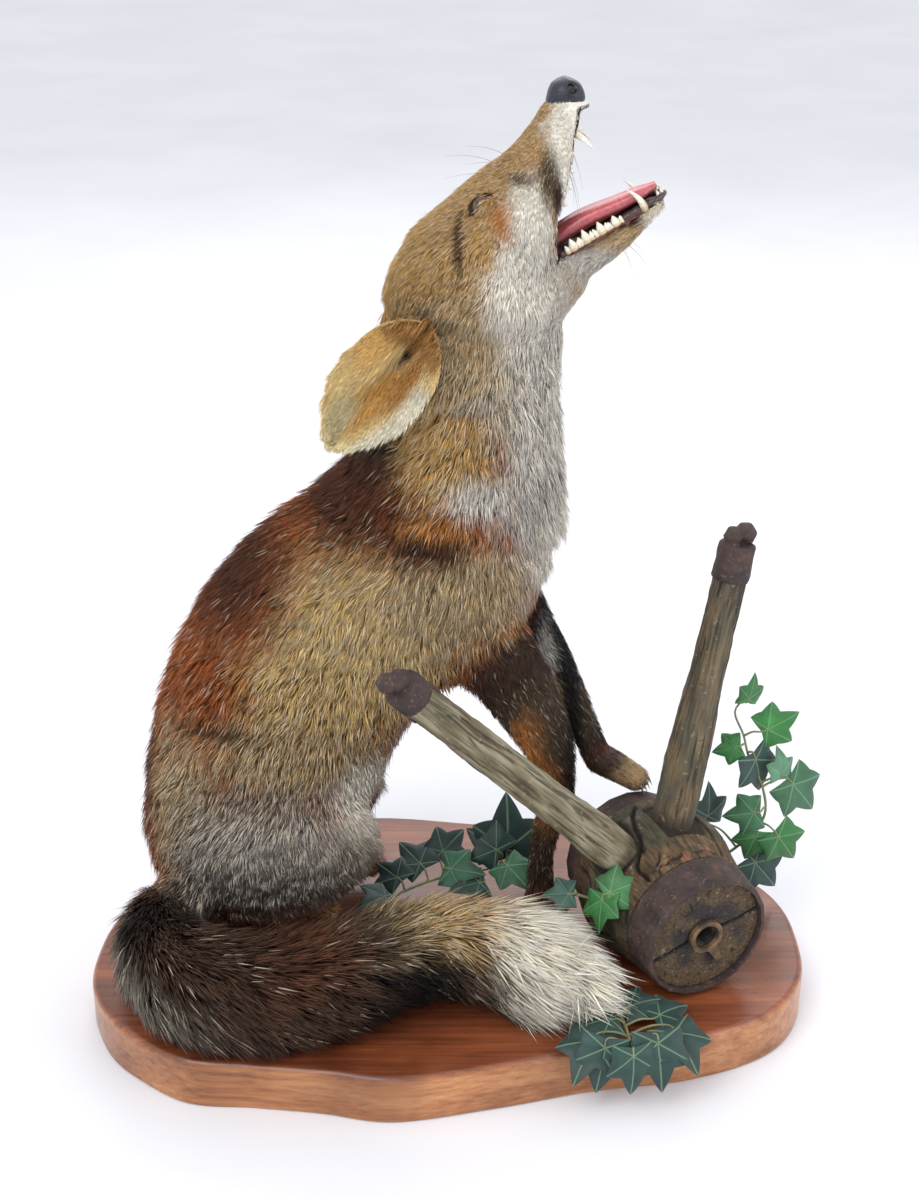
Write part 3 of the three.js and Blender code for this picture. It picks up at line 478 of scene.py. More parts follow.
body_line = sampled([(depth, radius, 0) for depth, radius in BODY_PROFILE], 62)[0][:, :2] / MM
face_radii = np.linspace(9.2, FACE_RADIUS, 34)
profile = np.concatenate([
    [(48.6, 4), *((deep, BORE_RADIUS) for deep in (49, 34, 19, FACE_DEPTH + 0.7))],
    np.column_stack([np.full(len(face_radii), FACE_DEPTH), face_radii]),
    [(12, FACE_RADIUS), (25.2, FACE_RADIUS), (25.2, 45.7)],
    body_line,
    [(95.8, 46.8), (95.8, FACE_RADIUS), (110, FACE_RADIUS), (110, 34), (110, 12)],
])
around = 2 * math.pi * np.arange(HUB_SIDES) / HUB_SIDES
rings = np.stack([
    profile[:, 1, None] * np.cos(around), profile[:, 1, None] * np.sin(around),
    np.broadcast_to(-profile[:, 0, None], (len(profile), HUB_SIDES)),
], axis=2)
local, hub_faces = skinned(rings, (0, 0, -49), (0, 0, -110))
radius = np.hypot(local[:, 0], local[:, 1])
depth = -local[:, 2]
turn = np.degrees(np.arctan2(local[:, 1], local[:, 0])) % 360
on_body = (depth > 25.25) & (depth < 95.75) & (radius > 43)
on_face = (np.abs(depth - FACE_DEPTH) < 0.2) & (radius > 9)
bend = 2.2 * wobble(local * MM, 26, 8) + 0.8 * wobble(local * MM, 7, 9)
flat = np.column_stack([np.radians(turn) * UNROLLED_RADIUS + bend * 0.5, depth])
lines = [
    ([(math.radians(a) * UNROLLED_RADIUS, d) for a, d in marks], half, deep) for marks, half, deep in SPLITS
]
deep, dark = groove(flat, lines)
deep_face, dark_face = groove(local[:, :2] + 0.3 * bend[:, None], FACE_SPLITS)
socket = np.zeros(len(local))
for angle, half_side, half_deep in SOCKETS:
    beyond_side = np.abs((turn - angle) * math.pi / 180 * SOCKET_RADIUS) - half_side
    beyond_deep = np.abs(depth - HUB_CENTRE_DEPTH) - half_deep
    outside = np.hypot(np.maximum(beyond_side, 0), np.maximum(beyond_deep, 0))
    socket = np.maximum(socket, step(4.2, 1.0, outside))
dent = 0.5 * wobble(local * MM, 34, 4) + 0.25 * wobble(local * MM, 11, 5)
sink = np.where(on_body, deep + 2.6 * socket + dent + 0.4, 0)
local[:, :2] *= (1 - sink / np.maximum(radius, 1))[:, None]
local[:, 2] -= np.where(on_face, deep_face + 0.35 * dent + 0.8 * step(16, 12, radius), 0)
patch = wobble(local * MM, 40, 11)[:, None]
tone = wobble(local * MM, 15, 12)[:, None]
olive, brown, ashen = linear((74, 70, 52)), linear((98, 76, 52)), linear((124, 112, 86))
hub_tones = olive + (brown - olive) * step(-0.5, 0.6, patch) + (ashen - olive) * 0.55 * step(0.3, 1.2, tone)
rusty = step(0.2, 1.0, wobble(local * MM, 9, 13)) * step(44, 27, depth)
rusty *= step(24, 60, turn) * step(140, 96, turn)
hub_tones = tinge(hub_tones, STAIN_RED, 0.6 * rusty * on_body)
worn = step(-0.5, 0.7, wobble(local * MM, 24, 14)) * step(42, 20, radius)
face_tones = tinge(linear((98, 80, 58)), (54, 47, 48), worn)
hub_tones = np.where((radius < FACE_RADIUS + 0.2)[:, None], face_tones, hub_tones)
# painted shade: the splits, the spokes' sockets and the sunk face's edge by the front band are darkened
shade = np.maximum(np.maximum(dark * on_body, dark_face * on_face), 0.85 * socket * on_body)
shade = np.maximum(shade, step(39.4, 41, radius) * on_face)
hub_tones = tinge(hub_tones, SPLIT_SHADE, shade)
hub_tones[(radius < BORE_RADIUS + 0.3) & (depth > FACE_DEPTH + 1)] = linear((58, 46, 36))

aged = aged_wood("aged_hub_wood", 40, 9)
barrel = built("hub_barrel_split_with_age", [(on_hub(local), hub_faces, hub_tones)], aged)
add_place(barrel, "grain_place", local * MM)
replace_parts(barrel, "hub_barrel")

rust = Finish("rusted_iron", 0.78, Metallic=0.15)
scale = rust.noise(62, detail=8, roughness=0.7)
pits = rust.noise(420, detail=4)
iron = rust.ramp(
    scale, [(0.34, (40, 31, 31)), (0.48, (61, 49, 47)), (0.6, (78, 62, 56)), (0.7, (104, 78, 68))])
iron = rust.mixed(rust.level(pits, 0.6, 0.72, 0.0, 0.55), iron, (150, 112, 98))
rust.colour(iron)
rust.roughness(rust.level(scale, 0.3, 0.7, 0.6, 0.9))
rust.bump(rust.maths(scale, rust.maths(pits, 0.4, "MULTIPLY")), 0.0014)
for name in ("hub_band_front", "hub_band_rear"):
    finish_node(name, rust)

handled = Finish("handled_iron", 0.6, Metallic=0.35)
scale = handled.noise(110, detail=6)
handled.colour(handled.ramp(scale, [(0.35, (62, 53, 48)), (0.52, (100, 82, 62)), (0.68, (136, 110, 78))]))
handled.bump(scale, 0.0006)
finish_node("hub_keeper", handled)


# ---- The spokes ----
# Two of the wheel's ash spokes, broken off short. Each is driven into the hub, shaved from a heavy square
# foot to a rounder waist, grey and checked with weather, and capped by an iron ferrule with two lobes.

UPRIGHT = {"angle": 101, "lean": -3, "length": 246, "foot": 16.0, "waist": 10.6, "ridge": 1.0,
           "tones": ((96, 90, 74), (120, 104, 78)), "seed": 21}
LEANING = {"angle": 46, "lean": 0, "length": 274, "foot": 16.0, "waist": 12.5, "ridge": 0.0,
           "tones": ((128, 118, 92), (168, 160, 134)), "seed": 31}
SPOKE_SIDES = 80
SPOKE_RINGS = 190
SPOKE_ROOT = 38  # how far the hidden root is from the hub's middle
LONG_CHECKS, CROSS_CHECKS = 26, 18
FERRULE_LAP = 14.4
FERRULE_GRAIN = 0.8


def normals_of(piece):
    flat = np.empty(3 * len(piece.data.vertices))
    piece.data.vertices.foreach_get("normal", flat)
    return flat.reshape(-1, 3)


def edges_of(piece):
    flat = np.empty(2 * len(piece.data.edges), dtype=np.int64)
    piece.data.edges.foreach_get("vertices", flat)
    return flat.reshape(-1, 2)


def smoothed(values, edges, times, share=0.5):
    """Each value drawn towards the mean of its neighbours along the edges, several times."""
    values = values.astype(float)
    flat = values.ndim == 1
    if flat:
        values = values[:, None]
    count = len(values)
    first, second = edges.T
    degree = np.bincount(first, minlength=count) + np.bincount(second, minlength=count)
    for _ in range(times):
        mean = np.stack([
            np.bincount(first, values[second, k], count) + np.bincount(second, values[first, k], count)
            for k in range(values.shape[1])
        ], axis=1) / np.maximum(degree, 1)[:, None]
        values = values + share * (mean - values)
    return values[:, 0] if flat else values


def recast(node, name, grain, rounds):
    """A finer copy of a plain solid, its facets worn smooth."""
    form = bmesh.new()
    form.from_mesh(NODES[node].data)
    bmesh.ops.remove_doubles(form, verts=form.verts, dist=0.01 * MM)
    piece = bpy.data.objects.new(name, bpy.data.meshes.new(name))
    form.to_mesh(piece.data)
    form.free()
    scene.collection.objects.link(piece)
    only(piece)
    piece.data.remesh_voxel_size = grain * MM
    bpy.ops.object.voxel_remesh()
    move_to(piece, smoothed(places(piece), edges_of(piece), rounds))
    bpy.ops.object.shade_smooth()
    piece.data.materials.clear()
    return piece


def spoke(name, spec):
    """A spoke out of the hub: a rounded square section that narrows, with a ridge up its foot's front."""
    draw = np.random.default_rng(spec["seed"])
    turned, lean = math.radians(spec["angle"]), math.radians(spec["lean"])
    out = hub_side * math.cos(turned) + hub_up * math.sin(turned)
    along = out * math.cos(lean) + hub_axis * math.sin(lean)
    wide = unit(hub_axis - along * (hub_axis @ along))
    across = np.cross(along, wide)
    root = HUB_FRONT - hub_axis * HUB_CENTRE_DEPTH
    foot, waist, end = spec["foot"], spec["waist"], spec["length"] - FERRULE_LAP
    marks = np.array([
        (SPOKE_ROOT, foot * 0.95, foot * 0.86), (70, foot, foot * 0.9),
        (110, (foot + waist) / 2, foot * 0.78), (160, waist, waist * 0.98),
        (end, waist * 0.96, waist * 0.92)])
    reach = np.linspace(SPOKE_ROOT, end, SPOKE_RINGS)
    half_wide = np.interp(reach, marks[:, 0], marks[:, 1])
    half_deep = np.interp(reach, marks[:, 0], marks[:, 2])
    ridge = spec["ridge"] * step(118, 72, reach)
    square = 0.72 + 0.62 * ridge
    angles = 2 * math.pi * np.arange(SPOKE_SIDES) / SPOKE_SIDES
    cosine, sine = np.cos(angles), np.sin(angles)
    x = np.sign(cosine) * np.abs(cosine) ** square[:, None] * (half_wide * (1 + 0.10 * ridge))[:, None]
    y = np.sign(sine) * np.abs(sine) ** square[:, None] * (half_deep * (1 + 0.08 * ridge))[:, None]
    local = np.stack([x, y, np.broadcast_to(reach[:, None], x.shape)], axis=2)
    points, faces = skinned(local, (0, 0, SPOKE_ROOT), (0, 0, end))
    girth = np.arctan2(points[:, 1], points[:, 0]) * waist
    flat = np.column_stack([girth + 0.8 * wobble(points * MM, 30, spec["seed"]), points[:, 2]])
    checks = []
    for _ in range(LONG_CHECKS):
        start, length = draw.uniform(50, end - 20), draw.uniform(18, 70)
        place = draw.uniform(-math.pi, math.pi) * waist
        drift = draw.uniform(-1.5, 1.5)
        stop = min(start + length, end - 4)
        line = [(place, start), (place + drift, (start + stop) / 2), (place + drift / 2, stop)]
        checks.append((line, draw.uniform(0.25, 0.6), draw.uniform(0.5, 1.4)))
    for _ in range(CROSS_CHECKS):
        start, place = draw.uniform(80, end - 8), draw.uniform(-math.pi, math.pi) * waist
        line = [(place, start), (place + draw.uniform(3, 7), start + draw.uniform(-1, 1))]
        checks.append((line, 0.3, draw.uniform(0.3, 0.7)))
    deep, dark = groove(flat, checks)
    inwards = unit(points * (1, 1, 0))
    dent = 0.35 * wobble(points * MM, 28, spec["seed"] + 1) + 0.2 * wobble(points * MM, 8, spec["seed"] + 2)
    spots = points - inwards * (deep + dent + 0.2)[:, None]
    fade = wobble(points * (1, 1, 0.3) * MM, 12, spec["seed"] + 3)
    tones = tinge(linear(spec["tones"][0]), spec["tones"][1], step(-0.7, 0.9, fade))
    tones = tones * (0.72 + 0.28 * step(end, end - 30, points[:, 2]))[:, None]
    # painted shade: the checks, and the foot where it leaves the hub, are darkened
    tones = tinge(tones, (56, 42, 32), np.maximum(0.85 * dark, 0.6 * step(62, 53, points[:, 2])))
    made = root + spots[:, :1] * wide + spots[:, 1:2] * across + spots[:, 2:] * along
    piece = built(name + "_weathered", [(made * MM, faces, tones)], grey_wood)
    add_place(piece, "grain_place", points * MM)
    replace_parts(piece, name)
    ferrule = recast(name + "_ferrule", name + "_ferrule_worn", FERRULE_GRAIN, 9)
    ferrule.data.materials.append(rust.material)
    crust = (0.5 + 0.35 * wobble(places(ferrule), 12, 6)) * MM
    move_to(ferrule, places(ferrule) + normals_of(ferrule) * crust[:, None])
    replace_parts(ferrule, name + "_ferrule")
    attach(ferrule, "root")


grey_wood = aged_wood("weathered_spoke_wood", 30, 16)
spoke("spoke_upright", UPRIGHT)
spoke("spoke_leaning", LEANING)


# ---- The ivy ----
# Four sprigs of artificial ivy, printed cloth leaves on covered wire. They are pinned to the board beside
# and under the fox and tucked round the hub, to hide where the pieces meet.

BRIGHT, DEEP, PALE = (48, 122, 54), (29, 61, 56), (84, 136, 104)
LEAF_OUTLINE = [(0, 1.0), (29, 0.60), (56, 0.80), (84, 0.54), (120, 0.60), (180, 0.20)]
VEIN_ANGLES = (0, 56, 120)
LEAF_THICK = 0.5
# the leaf's rings from the middle of its underside to that of its face: how far out, and on which side
LEAF_RINGS = ((0.14, -1), (0.4, -1), (0.7, -1), (0.98, -1), (1, 0), (0.98, 1), (0.7, 1), (0.4, 1), (0.14, 1))
STEM_TONE = (134, 138, 96)
VEIN_TONE = (150, 190, 150)
OFF_LEAF = 9.0  # the place that wires have on the leaf's drawing, away from every vein
# each sprig: its stem, then its leaves, with where each is, its way, what it faces, its size (mm) and colour
SPRIGS = {
    "ivy_right": (
        [(158, 58, 38), (184, 50, 56), (206, 42, 78), (222, 40, 102), (220, 40, 126), (209, 40, 150),
         (204, 40, 168), (197, 40, 186), (204, 41, 197)],
        [((206, 41, 196), (0.35, 0, 1), (0.5, -0.8, 0), 18, BRIGHT),
         ((220, 38, 174), (0.95, 0, 0.5), (0.1, -1, 0.25), 24, BRIGHT),
         ((199, 38, 160), (-1, 0, -0.25), (-0.2, -0.8, 0.5), 17, BRIGHT),
         ((213, 38, 150), (0.35, 0, -1), (0.6, -0.8, 0.2), 28, DEEP),
         ((232, 40, 138), (0, 0.1, 1), (0.6, -0.8, 0.1), 19, PALE),
         ((241, 42, 128), (0.7, 0, -0.8), (0.2, -0.9, 0.4), 30, (52, 104, 70)),
         ((214, 34, 110), (-1, -0.1, -0.1), (0, -0.9, 0.4), 22, (54, 112, 72)),
         ((216, 32, 92), (-0.3, 0, -1), (0, -0.9, 0.35), 22, (60, 128, 72)),
         ((232, 32, 92), (0.65, 0, -0.9), (0.1, -0.9, 0.35), 26, BRIGHT),
         ((218, 36, 68), (0.7, -0.1, -0.8), (-0.1, -0.8, 0.6), 28, DEEP),
         ((184, 46, 100), (0.12, 0, 1), (0.5, -0.9, 0), 25, DEEP)],
    ),
    "ivy_front": (
        [(104, -78, 38), (112, -96, 41), (116, -116, 42), (118, -136, 42), (119, -148, 41)],
        [((94, -132, 44), (-0.45, -0.8, -0.35), (-0.1, -0.5, 0.85), 30, DEEP),
         ((101, -140, 45), (-0.2, -0.55, -0.8), (0, -0.8, 0.6), 29, DEEP),
         ((118, -148, 45), (0.03, -0.4, -0.9), (0.3, -0.85, 0.4), 26, DEEP),
         ((134, -138, 47), (0.1, -0.6, -0.7), (0.1, -0.7, 0.7), 30, DEEP),
         ((146, -126, 46), (0.45, -0.8, -0.3), (0.2, -0.45, 0.85), 30, DEEP),
         ((138, -108, 46), (0.7, 0.5, 0.1), (0, -0.2, 1), 25, DEEP),
         ((106, -114, 47), (-0.9, -0.2, 0.05), (0, -0.2, 1), 24, DEEP),
         ((120, -100, 47), (0.6, 0.1, 0.2), (0, -0.4, 1), 20, DEEP)],
    ),
    "ivy_back": (
        [(-52, 16, 42), (-26, 34, 47), (0, 46, 50), (24, 56, 48), (44, 62, 50), (58, 66, 52)],
        [((-42, 20, 50), (-0.7, -0.7, 0.2), (0, -0.5, 1), 24, DEEP),
         ((-34, 38, 54), (-0.7, 0.6, 0.3), (0, -0.6, 0.8), 22, DEEP),
         ((-18, 50, 58), (-0.5, 0.5, 0.35), (0, -0.6, 0.8), 25, DEEP),
         ((4, 40, 60), (0.9, -0.3, 0.1), (0, -0.6, 0.8), 25, (46, 100, 74)),
         ((-2, 60, 62), (0.6, 0.5, 0.45), (0.1, -0.7, 0.7), 24, DEEP),
         ((44, 64, 62), (0.05, 0.25, 0.95), (0.3, -0.9, 0.2), 40, DEEP),
         ((36, 56, 66), (-0.75, 0.2, 0.5), (0, -0.8, 0.5), 26, DEEP),
         ((44, 44, 60), (0.5, -0.6, -0.2), (0, -0.6, 0.8), 24, (50, 108, 74)),
         ((24, 32, 54), (-0.8, -0.4, 0.1), (0, -0.6, 0.8), 22, DEEP)],
    ),
    "ivy_hub": (
        [(74, -34, 84), (86, -40, 92), (97, -50, 96), (106, -56, 104)],
        [((108, -58, 106), (0.9, -0.1, 0.5), (-0.5, -0.75, 0.4), 23, (56, 122, 66)),
         ((103, -58, 100), (-0.2, -0.6, -0.8), (-0.6, -0.6, 0.5), 22, BRIGHT),
         ((82, -42, 94), (-0.95, 0, 0), (0, -0.6, 0.8), 18, (58, 94, 84))],
    ),
}


def swept(line, wide, deep, hint=(0, 1, 0), sides=10, square=1.0):
    """The points and triangles of a closed form along a line, with half its width and depth there (mm)."""
    centre = np.array(line, dtype=float) * MM
    count = len(centre)
    way = unit(np.gradient(centre, axis=0))
    side = unit(np.cross(np.broadcast_to(np.array(hint, dtype=float), way.shape), way))
    rise = np.cross(way, side)
    turn = 2 * math.pi * np.arange(sides) / sides
    reach_side = np.sign(np.cos(turn)) * np.abs(np.cos(turn)) ** square
    reach_rise = np.sign(np.sin(turn)) * np.abs(np.sin(turn)) ** square
    wide = np.broadcast_to(np.asarray(wide, dtype=float), count) * MM
    deep = np.broadcast_to(np.asarray(deep, dtype=float), count) * MM
    rings = (centre[:, None] + side[:, None] * (reach_side[None] * wide[:, None])[..., None]
             + rise[:, None] * (reach_rise[None] * deep[:, None])[..., None])
    return skinned(rings, centre[0], centre[-1])


def leaf_shape(at, towards, facing, size, tone, seed):
    """One leaf: a lobed shell, a little thicker than card, creased along its rib and curled at its lobes."""
    draw = np.random.default_rng(seed)
    way = unit(np.array(towards, dtype=float))
    across = unit(np.cross(np.array(facing, dtype=float), way))
    face = np.cross(way, across)
    half = []
    for (a, first), (b, second) in zip(LEAF_OUTLINE, LEAF_OUTLINE[1:]):
        start = np.array([math.sin(math.radians(a)), math.cos(math.radians(a))]) * first
        stop = np.array([math.sin(math.radians(b)), math.cos(math.radians(b))]) * second
        share = np.linspace(0, 1, 6, endpoint=False)[:, None]
        bulge = np.sin(share * math.pi) * 0.035
        half.append((start + (stop - start) * share) * (1 + bulge))
    half = np.concatenate(half)
    edge = np.concatenate([half, [(0, -LEAF_OUTLINE[-1][1])], (half * (-1, 1))[:0:-1]])
    curl, twist, fold = draw.uniform(0.16, 0.34), draw.uniform(-0.16, 0.16), draw.uniform(0.05, 0.16)
    phase = draw.uniform(0, 2 * math.pi)
    rings = []
    drawing = []
    for share, lift in LEAF_RINGS:
        flat = edge * share
        span = np.hypot(flat[:, 0], flat[:, 1])
        angle = np.arctan2(flat[:, 0], flat[:, 1])
        height = (-curl * span**2 + fold * np.abs(flat[:, 0]) + twist * flat[:, 0] * flat[:, 1]
                  + 0.03 * np.sin(5 * angle + phase) * span)
        rings.append(np.column_stack([flat, height + lift * LEAF_THICK / 2 / size]))
        drawing.append(np.column_stack([flat, np.zeros(len(flat))]))
    points, faces = skinned(np.array(rings), (0, 0, -LEAF_THICK / 2 / size), (0, 0, LEAF_THICK / 2 / size))
    sketch = np.concatenate(drawing + [np.zeros((2, 3))])
    made = (np.array(at) + size * (points[:, :1] * across + points[:, 1:2] * way + points[:, 2:] * face)) * MM
    ground = linear(tone) * draw.uniform(0.85, 1.15)
    span = np.hypot(sketch[:, 0], sketch[:, 1])[:, None]
    tones = ground * (1.12 - 0.28 * step(0.2, 0.9, span) + 0.16 * wobble(sketch, 300, seed)[:, None])
    return made, faces[:, ::-1], tones, sketch


def wire(line, thick, thin, sides):
    """A round wire that tapers, with its colour and its place off the leaf's drawing."""
    girth = np.linspace(thick, thin, len(line))
    points, faces = swept(line, girth, girth, (0.31, 0.52, 0.8), sides)
    return points, faces, np.tile(linear(STEM_TONE), (len(points), 1)), np.full((len(points), 3), OFF_LEAF)


def sprig(name, stem, leaves, seed):
    """A wire stem with its leaves, each on a short bent stalk."""
    run = sampled(stem, 60)[0] / MM
    shapes = [wire(run, 1.2, 0.7, 8)]
    for i, (at, towards, facing, size, tone) in enumerate(leaves):
        middle, way = np.array(at, dtype=float), unit(np.array(towards, dtype=float))
        base = middle - 0.2 * size * way
        spot = run[np.argmin(np.linalg.norm(run - base, axis=1))]
        inside = middle + 0.06 * size * way
        bow = (spot + base) / 2 + (0, 0, 0.12 * np.linalg.norm(base - spot))
        shapes.append(wire(sampled([spot, bow, base, inside], 14)[0] / MM, 0.9, 0.55, 6))
        shapes.append(leaf_shape(at, towards, facing, size, tone, seed + i))
    piece = built(name + "_sprig", shapes, leaf_cloth)
    add_place(piece, "leaf_place", np.concatenate([shape[3] for shape in shapes]))
    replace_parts(piece, name)


leaf_cloth = Finish("printed_leaf_cloth", 0.52, Sheen_Weight=0.15)
drawn = leaf_cloth.node("SeparateXYZ")
leaf_cloth.join(leaf_cloth.attribute("leaf_place", "Vector"), drawn.inputs[0])
beside_rib = leaf_cloth.maths(drawn.outputs["X"], 0.0, "ABSOLUTE")
up_rib = drawn.outputs["Y"]
nearest = None
for angle in VEIN_ANGLES:
    sine, cosine = math.sin(math.radians(angle)), math.cos(math.radians(angle))
    aside = leaf_cloth.maths(beside_rib, cosine, "MULTIPLY")
    gap = leaf_cloth.maths(aside, leaf_cloth.maths(up_rib, sine, "MULTIPLY"), "SUBTRACT")
    ahead = leaf_cloth.maths(beside_rib, sine, "MULTIPLY")
    onwards = leaf_cloth.maths(ahead, leaf_cloth.maths(up_rib, cosine, "MULTIPLY"))
    behind = leaf_cloth.maths(leaf_cloth.maths(onwards, -2.0, "MULTIPLY"), 0.0, "MAXIMUM")
    apart = leaf_cloth.maths(leaf_cloth.maths(gap, 0.0, "ABSOLUTE"), behind)
    nearest = apart if nearest is None else leaf_cloth.maths(nearest, apart, "MINIMUM")
vein = leaf_cloth.level(nearest, 0.006, 0.026, 1.0, 0.0)
weave = leaf_cloth.noise(420, detail=3)
mottle = leaf_cloth.ramp(leaf_cloth.noise(90, detail=5), [(0.3, (200, 206, 204)), (0.7, (255, 255, 255))])
cloth = leaf_cloth.mixed(1.0, leaf_cloth.attribute("own_colour"), mottle, "MULTIPLY")
leaf_cloth.colour(leaf_cloth.mixed(leaf_cloth.maths(vein, 0.36, "MULTIPLY"), cloth, VEIN_TONE))
threads, folds = leaf_cloth.maths(weave, 0.25, "MULTIPLY"), leaf_cloth.maths(vein, -0.6, "MULTIPLY")
leaf_cloth.bump(leaf_cloth.maths(threads, folds), 0.0005)
for seed, (name, (stem, leaves)) in enumerate(SPRIGS.items()):
    sprig(name, stem, leaves, 40 * seed + 5)


# ---- The fox's skin ----
# A tanned fox skin over a carved form. It is one piece from nose to tail tip, and lies under the tips of
# the coat by the coat's own depth, from a millimetre on the muzzle to over a centimetre on the tail.

MIDPLANE = 34 * MM
FLESH = [
    "fox_head", "fox_lower_jaw", "fox_neck", "fox_trunk", "fox_foreleg_right", "fox_forepaw_right",
    "fox_foreleg_left", "fox_forepaw_left", "fox_hind_leg_right", "fox_hind_leg_left",
    "fox_tail_root", "fox_tail_middle", "fox_tail_tip",
]
# on each form, how deep the coat is, how long its hairs are (mm), how far they lift (degrees) and how
# thick it grows
COAT_OF = {
    "fox_head": (2.2, 8.5, 22, 2.1), "fox_lower_jaw": (1.4, 5.5, 18, 2.0), "fox_neck": (7.5, 16, 30, 1.15),
    "fox_trunk": (8, 16, 30, 1.1),
    "fox_foreleg_right": (3.2, 8, 24, 1.5), "fox_forepaw_right": (1.5, 4.5, 20, 1.6),
    "fox_foreleg_left": (2.8, 7.5, 22, 1.4), "fox_forepaw_left": (1.4, 4, 20, 1.8),
    "fox_hind_leg_right": (7, 14, 31, 1.2), "fox_hind_leg_left": (6, 14, 30, 0.8),
    "fox_tail_root": (11, 23, 33, 0.9), "fox_tail_middle": (12, 23, 34, 1.0),
    "fox_tail_tip": (12, 32, 28, 1.1),
}
SKIN_VOXEL = 3.2 * MM
SEAM_FILL = 0.5 * MM  # the forms swell by this much before they are fused, to close the cuts between them
FACE_FROM_X, FACE_FROM_Z = -0.004, 0.476  # the face, and all beyond these in metres, gets a finer mesh
RAISED_PAW = (122, 39, 141)
# where the coat is less deep, by a share, and deeper, by mm: middle, half extent (mm), softness, amount
THIN_COAT = [((66, 26, 580), (26, 30, 44), 0.4, 0.6), ((30, 18, 545), (24, 26, 24), 0.4, 0.35)]
DEEP_COAT = [((22, 0, 492), (40, 40, 26), 0.5, 1.8), ((72, 26, 602), (16, 20, 10), 0.3, 1.2),
             ((72, 30, 606), (13, 14, 8), 0.3, 3.4)]
TOE_GROOVES = (-5.5, 0.0, 5.5)


def triangles_of(piece):
    piece.data.calc_loop_triangles()
    flat = np.empty(3 * len(piece.data.loop_triangles), dtype=np.int64)
    piece.data.loop_triangles.foreach_get("vertices", flat)
    return flat.reshape(-1, 3)


def near(points, centre, radius, soft=0.35):
    """1 inside a ball or ellipsoid given in millimetres, 0 outside, with a soft edge."""
    gap = np.linalg.norm((points - np.array(centre) * MM) / (np.array(radius) * MM), axis=1)
    return 1 - step(1 - soft, 1 + soft, gap)


def mirrored_side(points):
    """The points brought to the right side of the fox's plane of symmetry."""
    folded = points.copy()
    folded[:, 1] = MIDPLANE - np.abs(points[:, 1] - MIDPLANE)
    return folded


def refine(piece, inside):
    """Halves the edges between the vertices that are inside, on a mesh of triangles."""
    points = places(piece)
    faces = triangles_of(piece)
    ends = np.sort(np.stack([faces, np.roll(faces, -1, axis=1)], axis=-1), axis=-1)
    cut = inside[ends].all(axis=-1)
    key = ends[..., 0] * len(points) + ends[..., 1]
    cut_keys, index = np.unique(key[cut], return_inverse=True)
    halves = (points[cut_keys // len(points)] + points[cut_keys % len(points)]) / 2
    middle = np.full(key.shape, -1)
    middle[cut] = len(points) + index
    made = [faces[~cut.any(axis=1)]]
    whole = cut.all(axis=1)
    a, b, c = faces[whole].T
    ab, bc, ca = middle[whole].T
    made += [np.stack(corners, axis=1) for corners in ((a, ab, ca), (ab, b, bc), (ca, bc, c), (ab, bc, ca))]
    for turn in range(3):
        turned, seams = np.roll(faces, -turn, axis=1), np.roll(middle, -turn, axis=1)
        one = (seams[:, 0] >= 0) & (seams[:, 1] < 0) & (seams[:, 2] < 0)
        a, b, c = turned[one].T
        ab = seams[one, 0]
        made += [np.stack((a, ab, c), axis=1), np.stack((ab, b, c), axis=1)]
        two = (seams[:, 0] >= 0) & (seams[:, 1] >= 0) & (seams[:, 2] < 0)
        a, b, c = turned[two].T
        ab, bc = seams[two, 0], seams[two, 1]
        made += [np.stack(corners, axis=1) for corners in ((ab, b, bc), (a, ab, bc), (a, bc, c))]
    finer = bpy.data.meshes.new(piece.name)
    set_triangles(finer, np.concatenate([points, halves]), np.concatenate(made))
    piece.data = finer


forms = bmesh.new()
form_corners = []
form_faces = []
form_owner = []
# the sockets and the nose's seat are filled, so that the skin runs on under the eyes and the nose
for part in [*FLESH, "fox_eye_right", "fox_eye_left", "fox_nose"]:
    index = FLESH.index(part) if part in FLESH else 0
    shape = bmesh.new()
    shape.from_mesh(NODES[part].data)
    bmesh.ops.remove_doubles(shape, verts=shape.verts, dist=0.01 * MM)
    shape.normal_update()
    start = len(form_corners)
    form_corners.extend(vertex.co.copy() for vertex in shape.verts)
    form_faces.extend([start + vertex.index for vertex in face.verts] for face in shape.faces)
    form_owner.extend([index] * len(shape.faces))
    for vertex in shape.verts:
        vertex.co += vertex.normal * SEAM_FILL
    swollen = bpy.data.meshes.new("swollen_form")
    shape.to_mesh(swollen)
    shape.free()
    forms.from_mesh(swollen)
    bpy.data.meshes.remove(swollen)
skin = bpy.data.objects.new("fox_skin", bpy.data.meshes.new("fox_skin"))
forms.to_mesh(skin.data)
forms.free()
scene.collection.objects.link(skin)
only(skin)
skin.data.remesh_voxel_size = SKIN_VOXEL
bpy.ops.object.voxel_remesh()

form_tree = BVHTree.FromPolygons(form_corners, form_faces)
form_owner = np.array(form_owner)


def shares_of(piece):
    """How far each vertex belongs to each carved form, softened across the joins."""
    nearest = np.array([form_tree.find_nearest(Vector(spot))[2] for spot in places(piece)])
    sole = np.zeros((len(nearest), len(FLESH)))
    sole[np.arange(len(nearest)), form_owner[nearest]] = 1
    return smoothed(sole, edges_of(piece), 12)


# the voxel steps are smoothed out, and the face, the raised paw and the lids get a finer mesh
spots = smoothed(places(skin), edges_of(skin), 2)
move_to(skin, spots)
refine(skin, (spots[:, 2] > FACE_FROM_Z) & (spots[:, 0] > FACE_FROM_X))
spots = places(skin)
refine(skin, near(spots, RAISED_PAW, (24, 22, 20), 0.01) > 0.5)

# The eyes look out, up and a little forwards. Each lid opening runs from its rear corner to its front one.
EYE_RADIUS = 8.5 * MM
EYE_PLACE = Vector((25, 11, 537.5)) * MM
EYE_OUT = Vector((-0.507, -0.73, 0.459)).normalized()
LID_RUN = Vector((0.68, -0.01, 0.73)).normalized()
LID_HALF_LENGTH = 7.7
LID_HALF_HEIGHT = 2.5
LID_CAMBER = 1.2


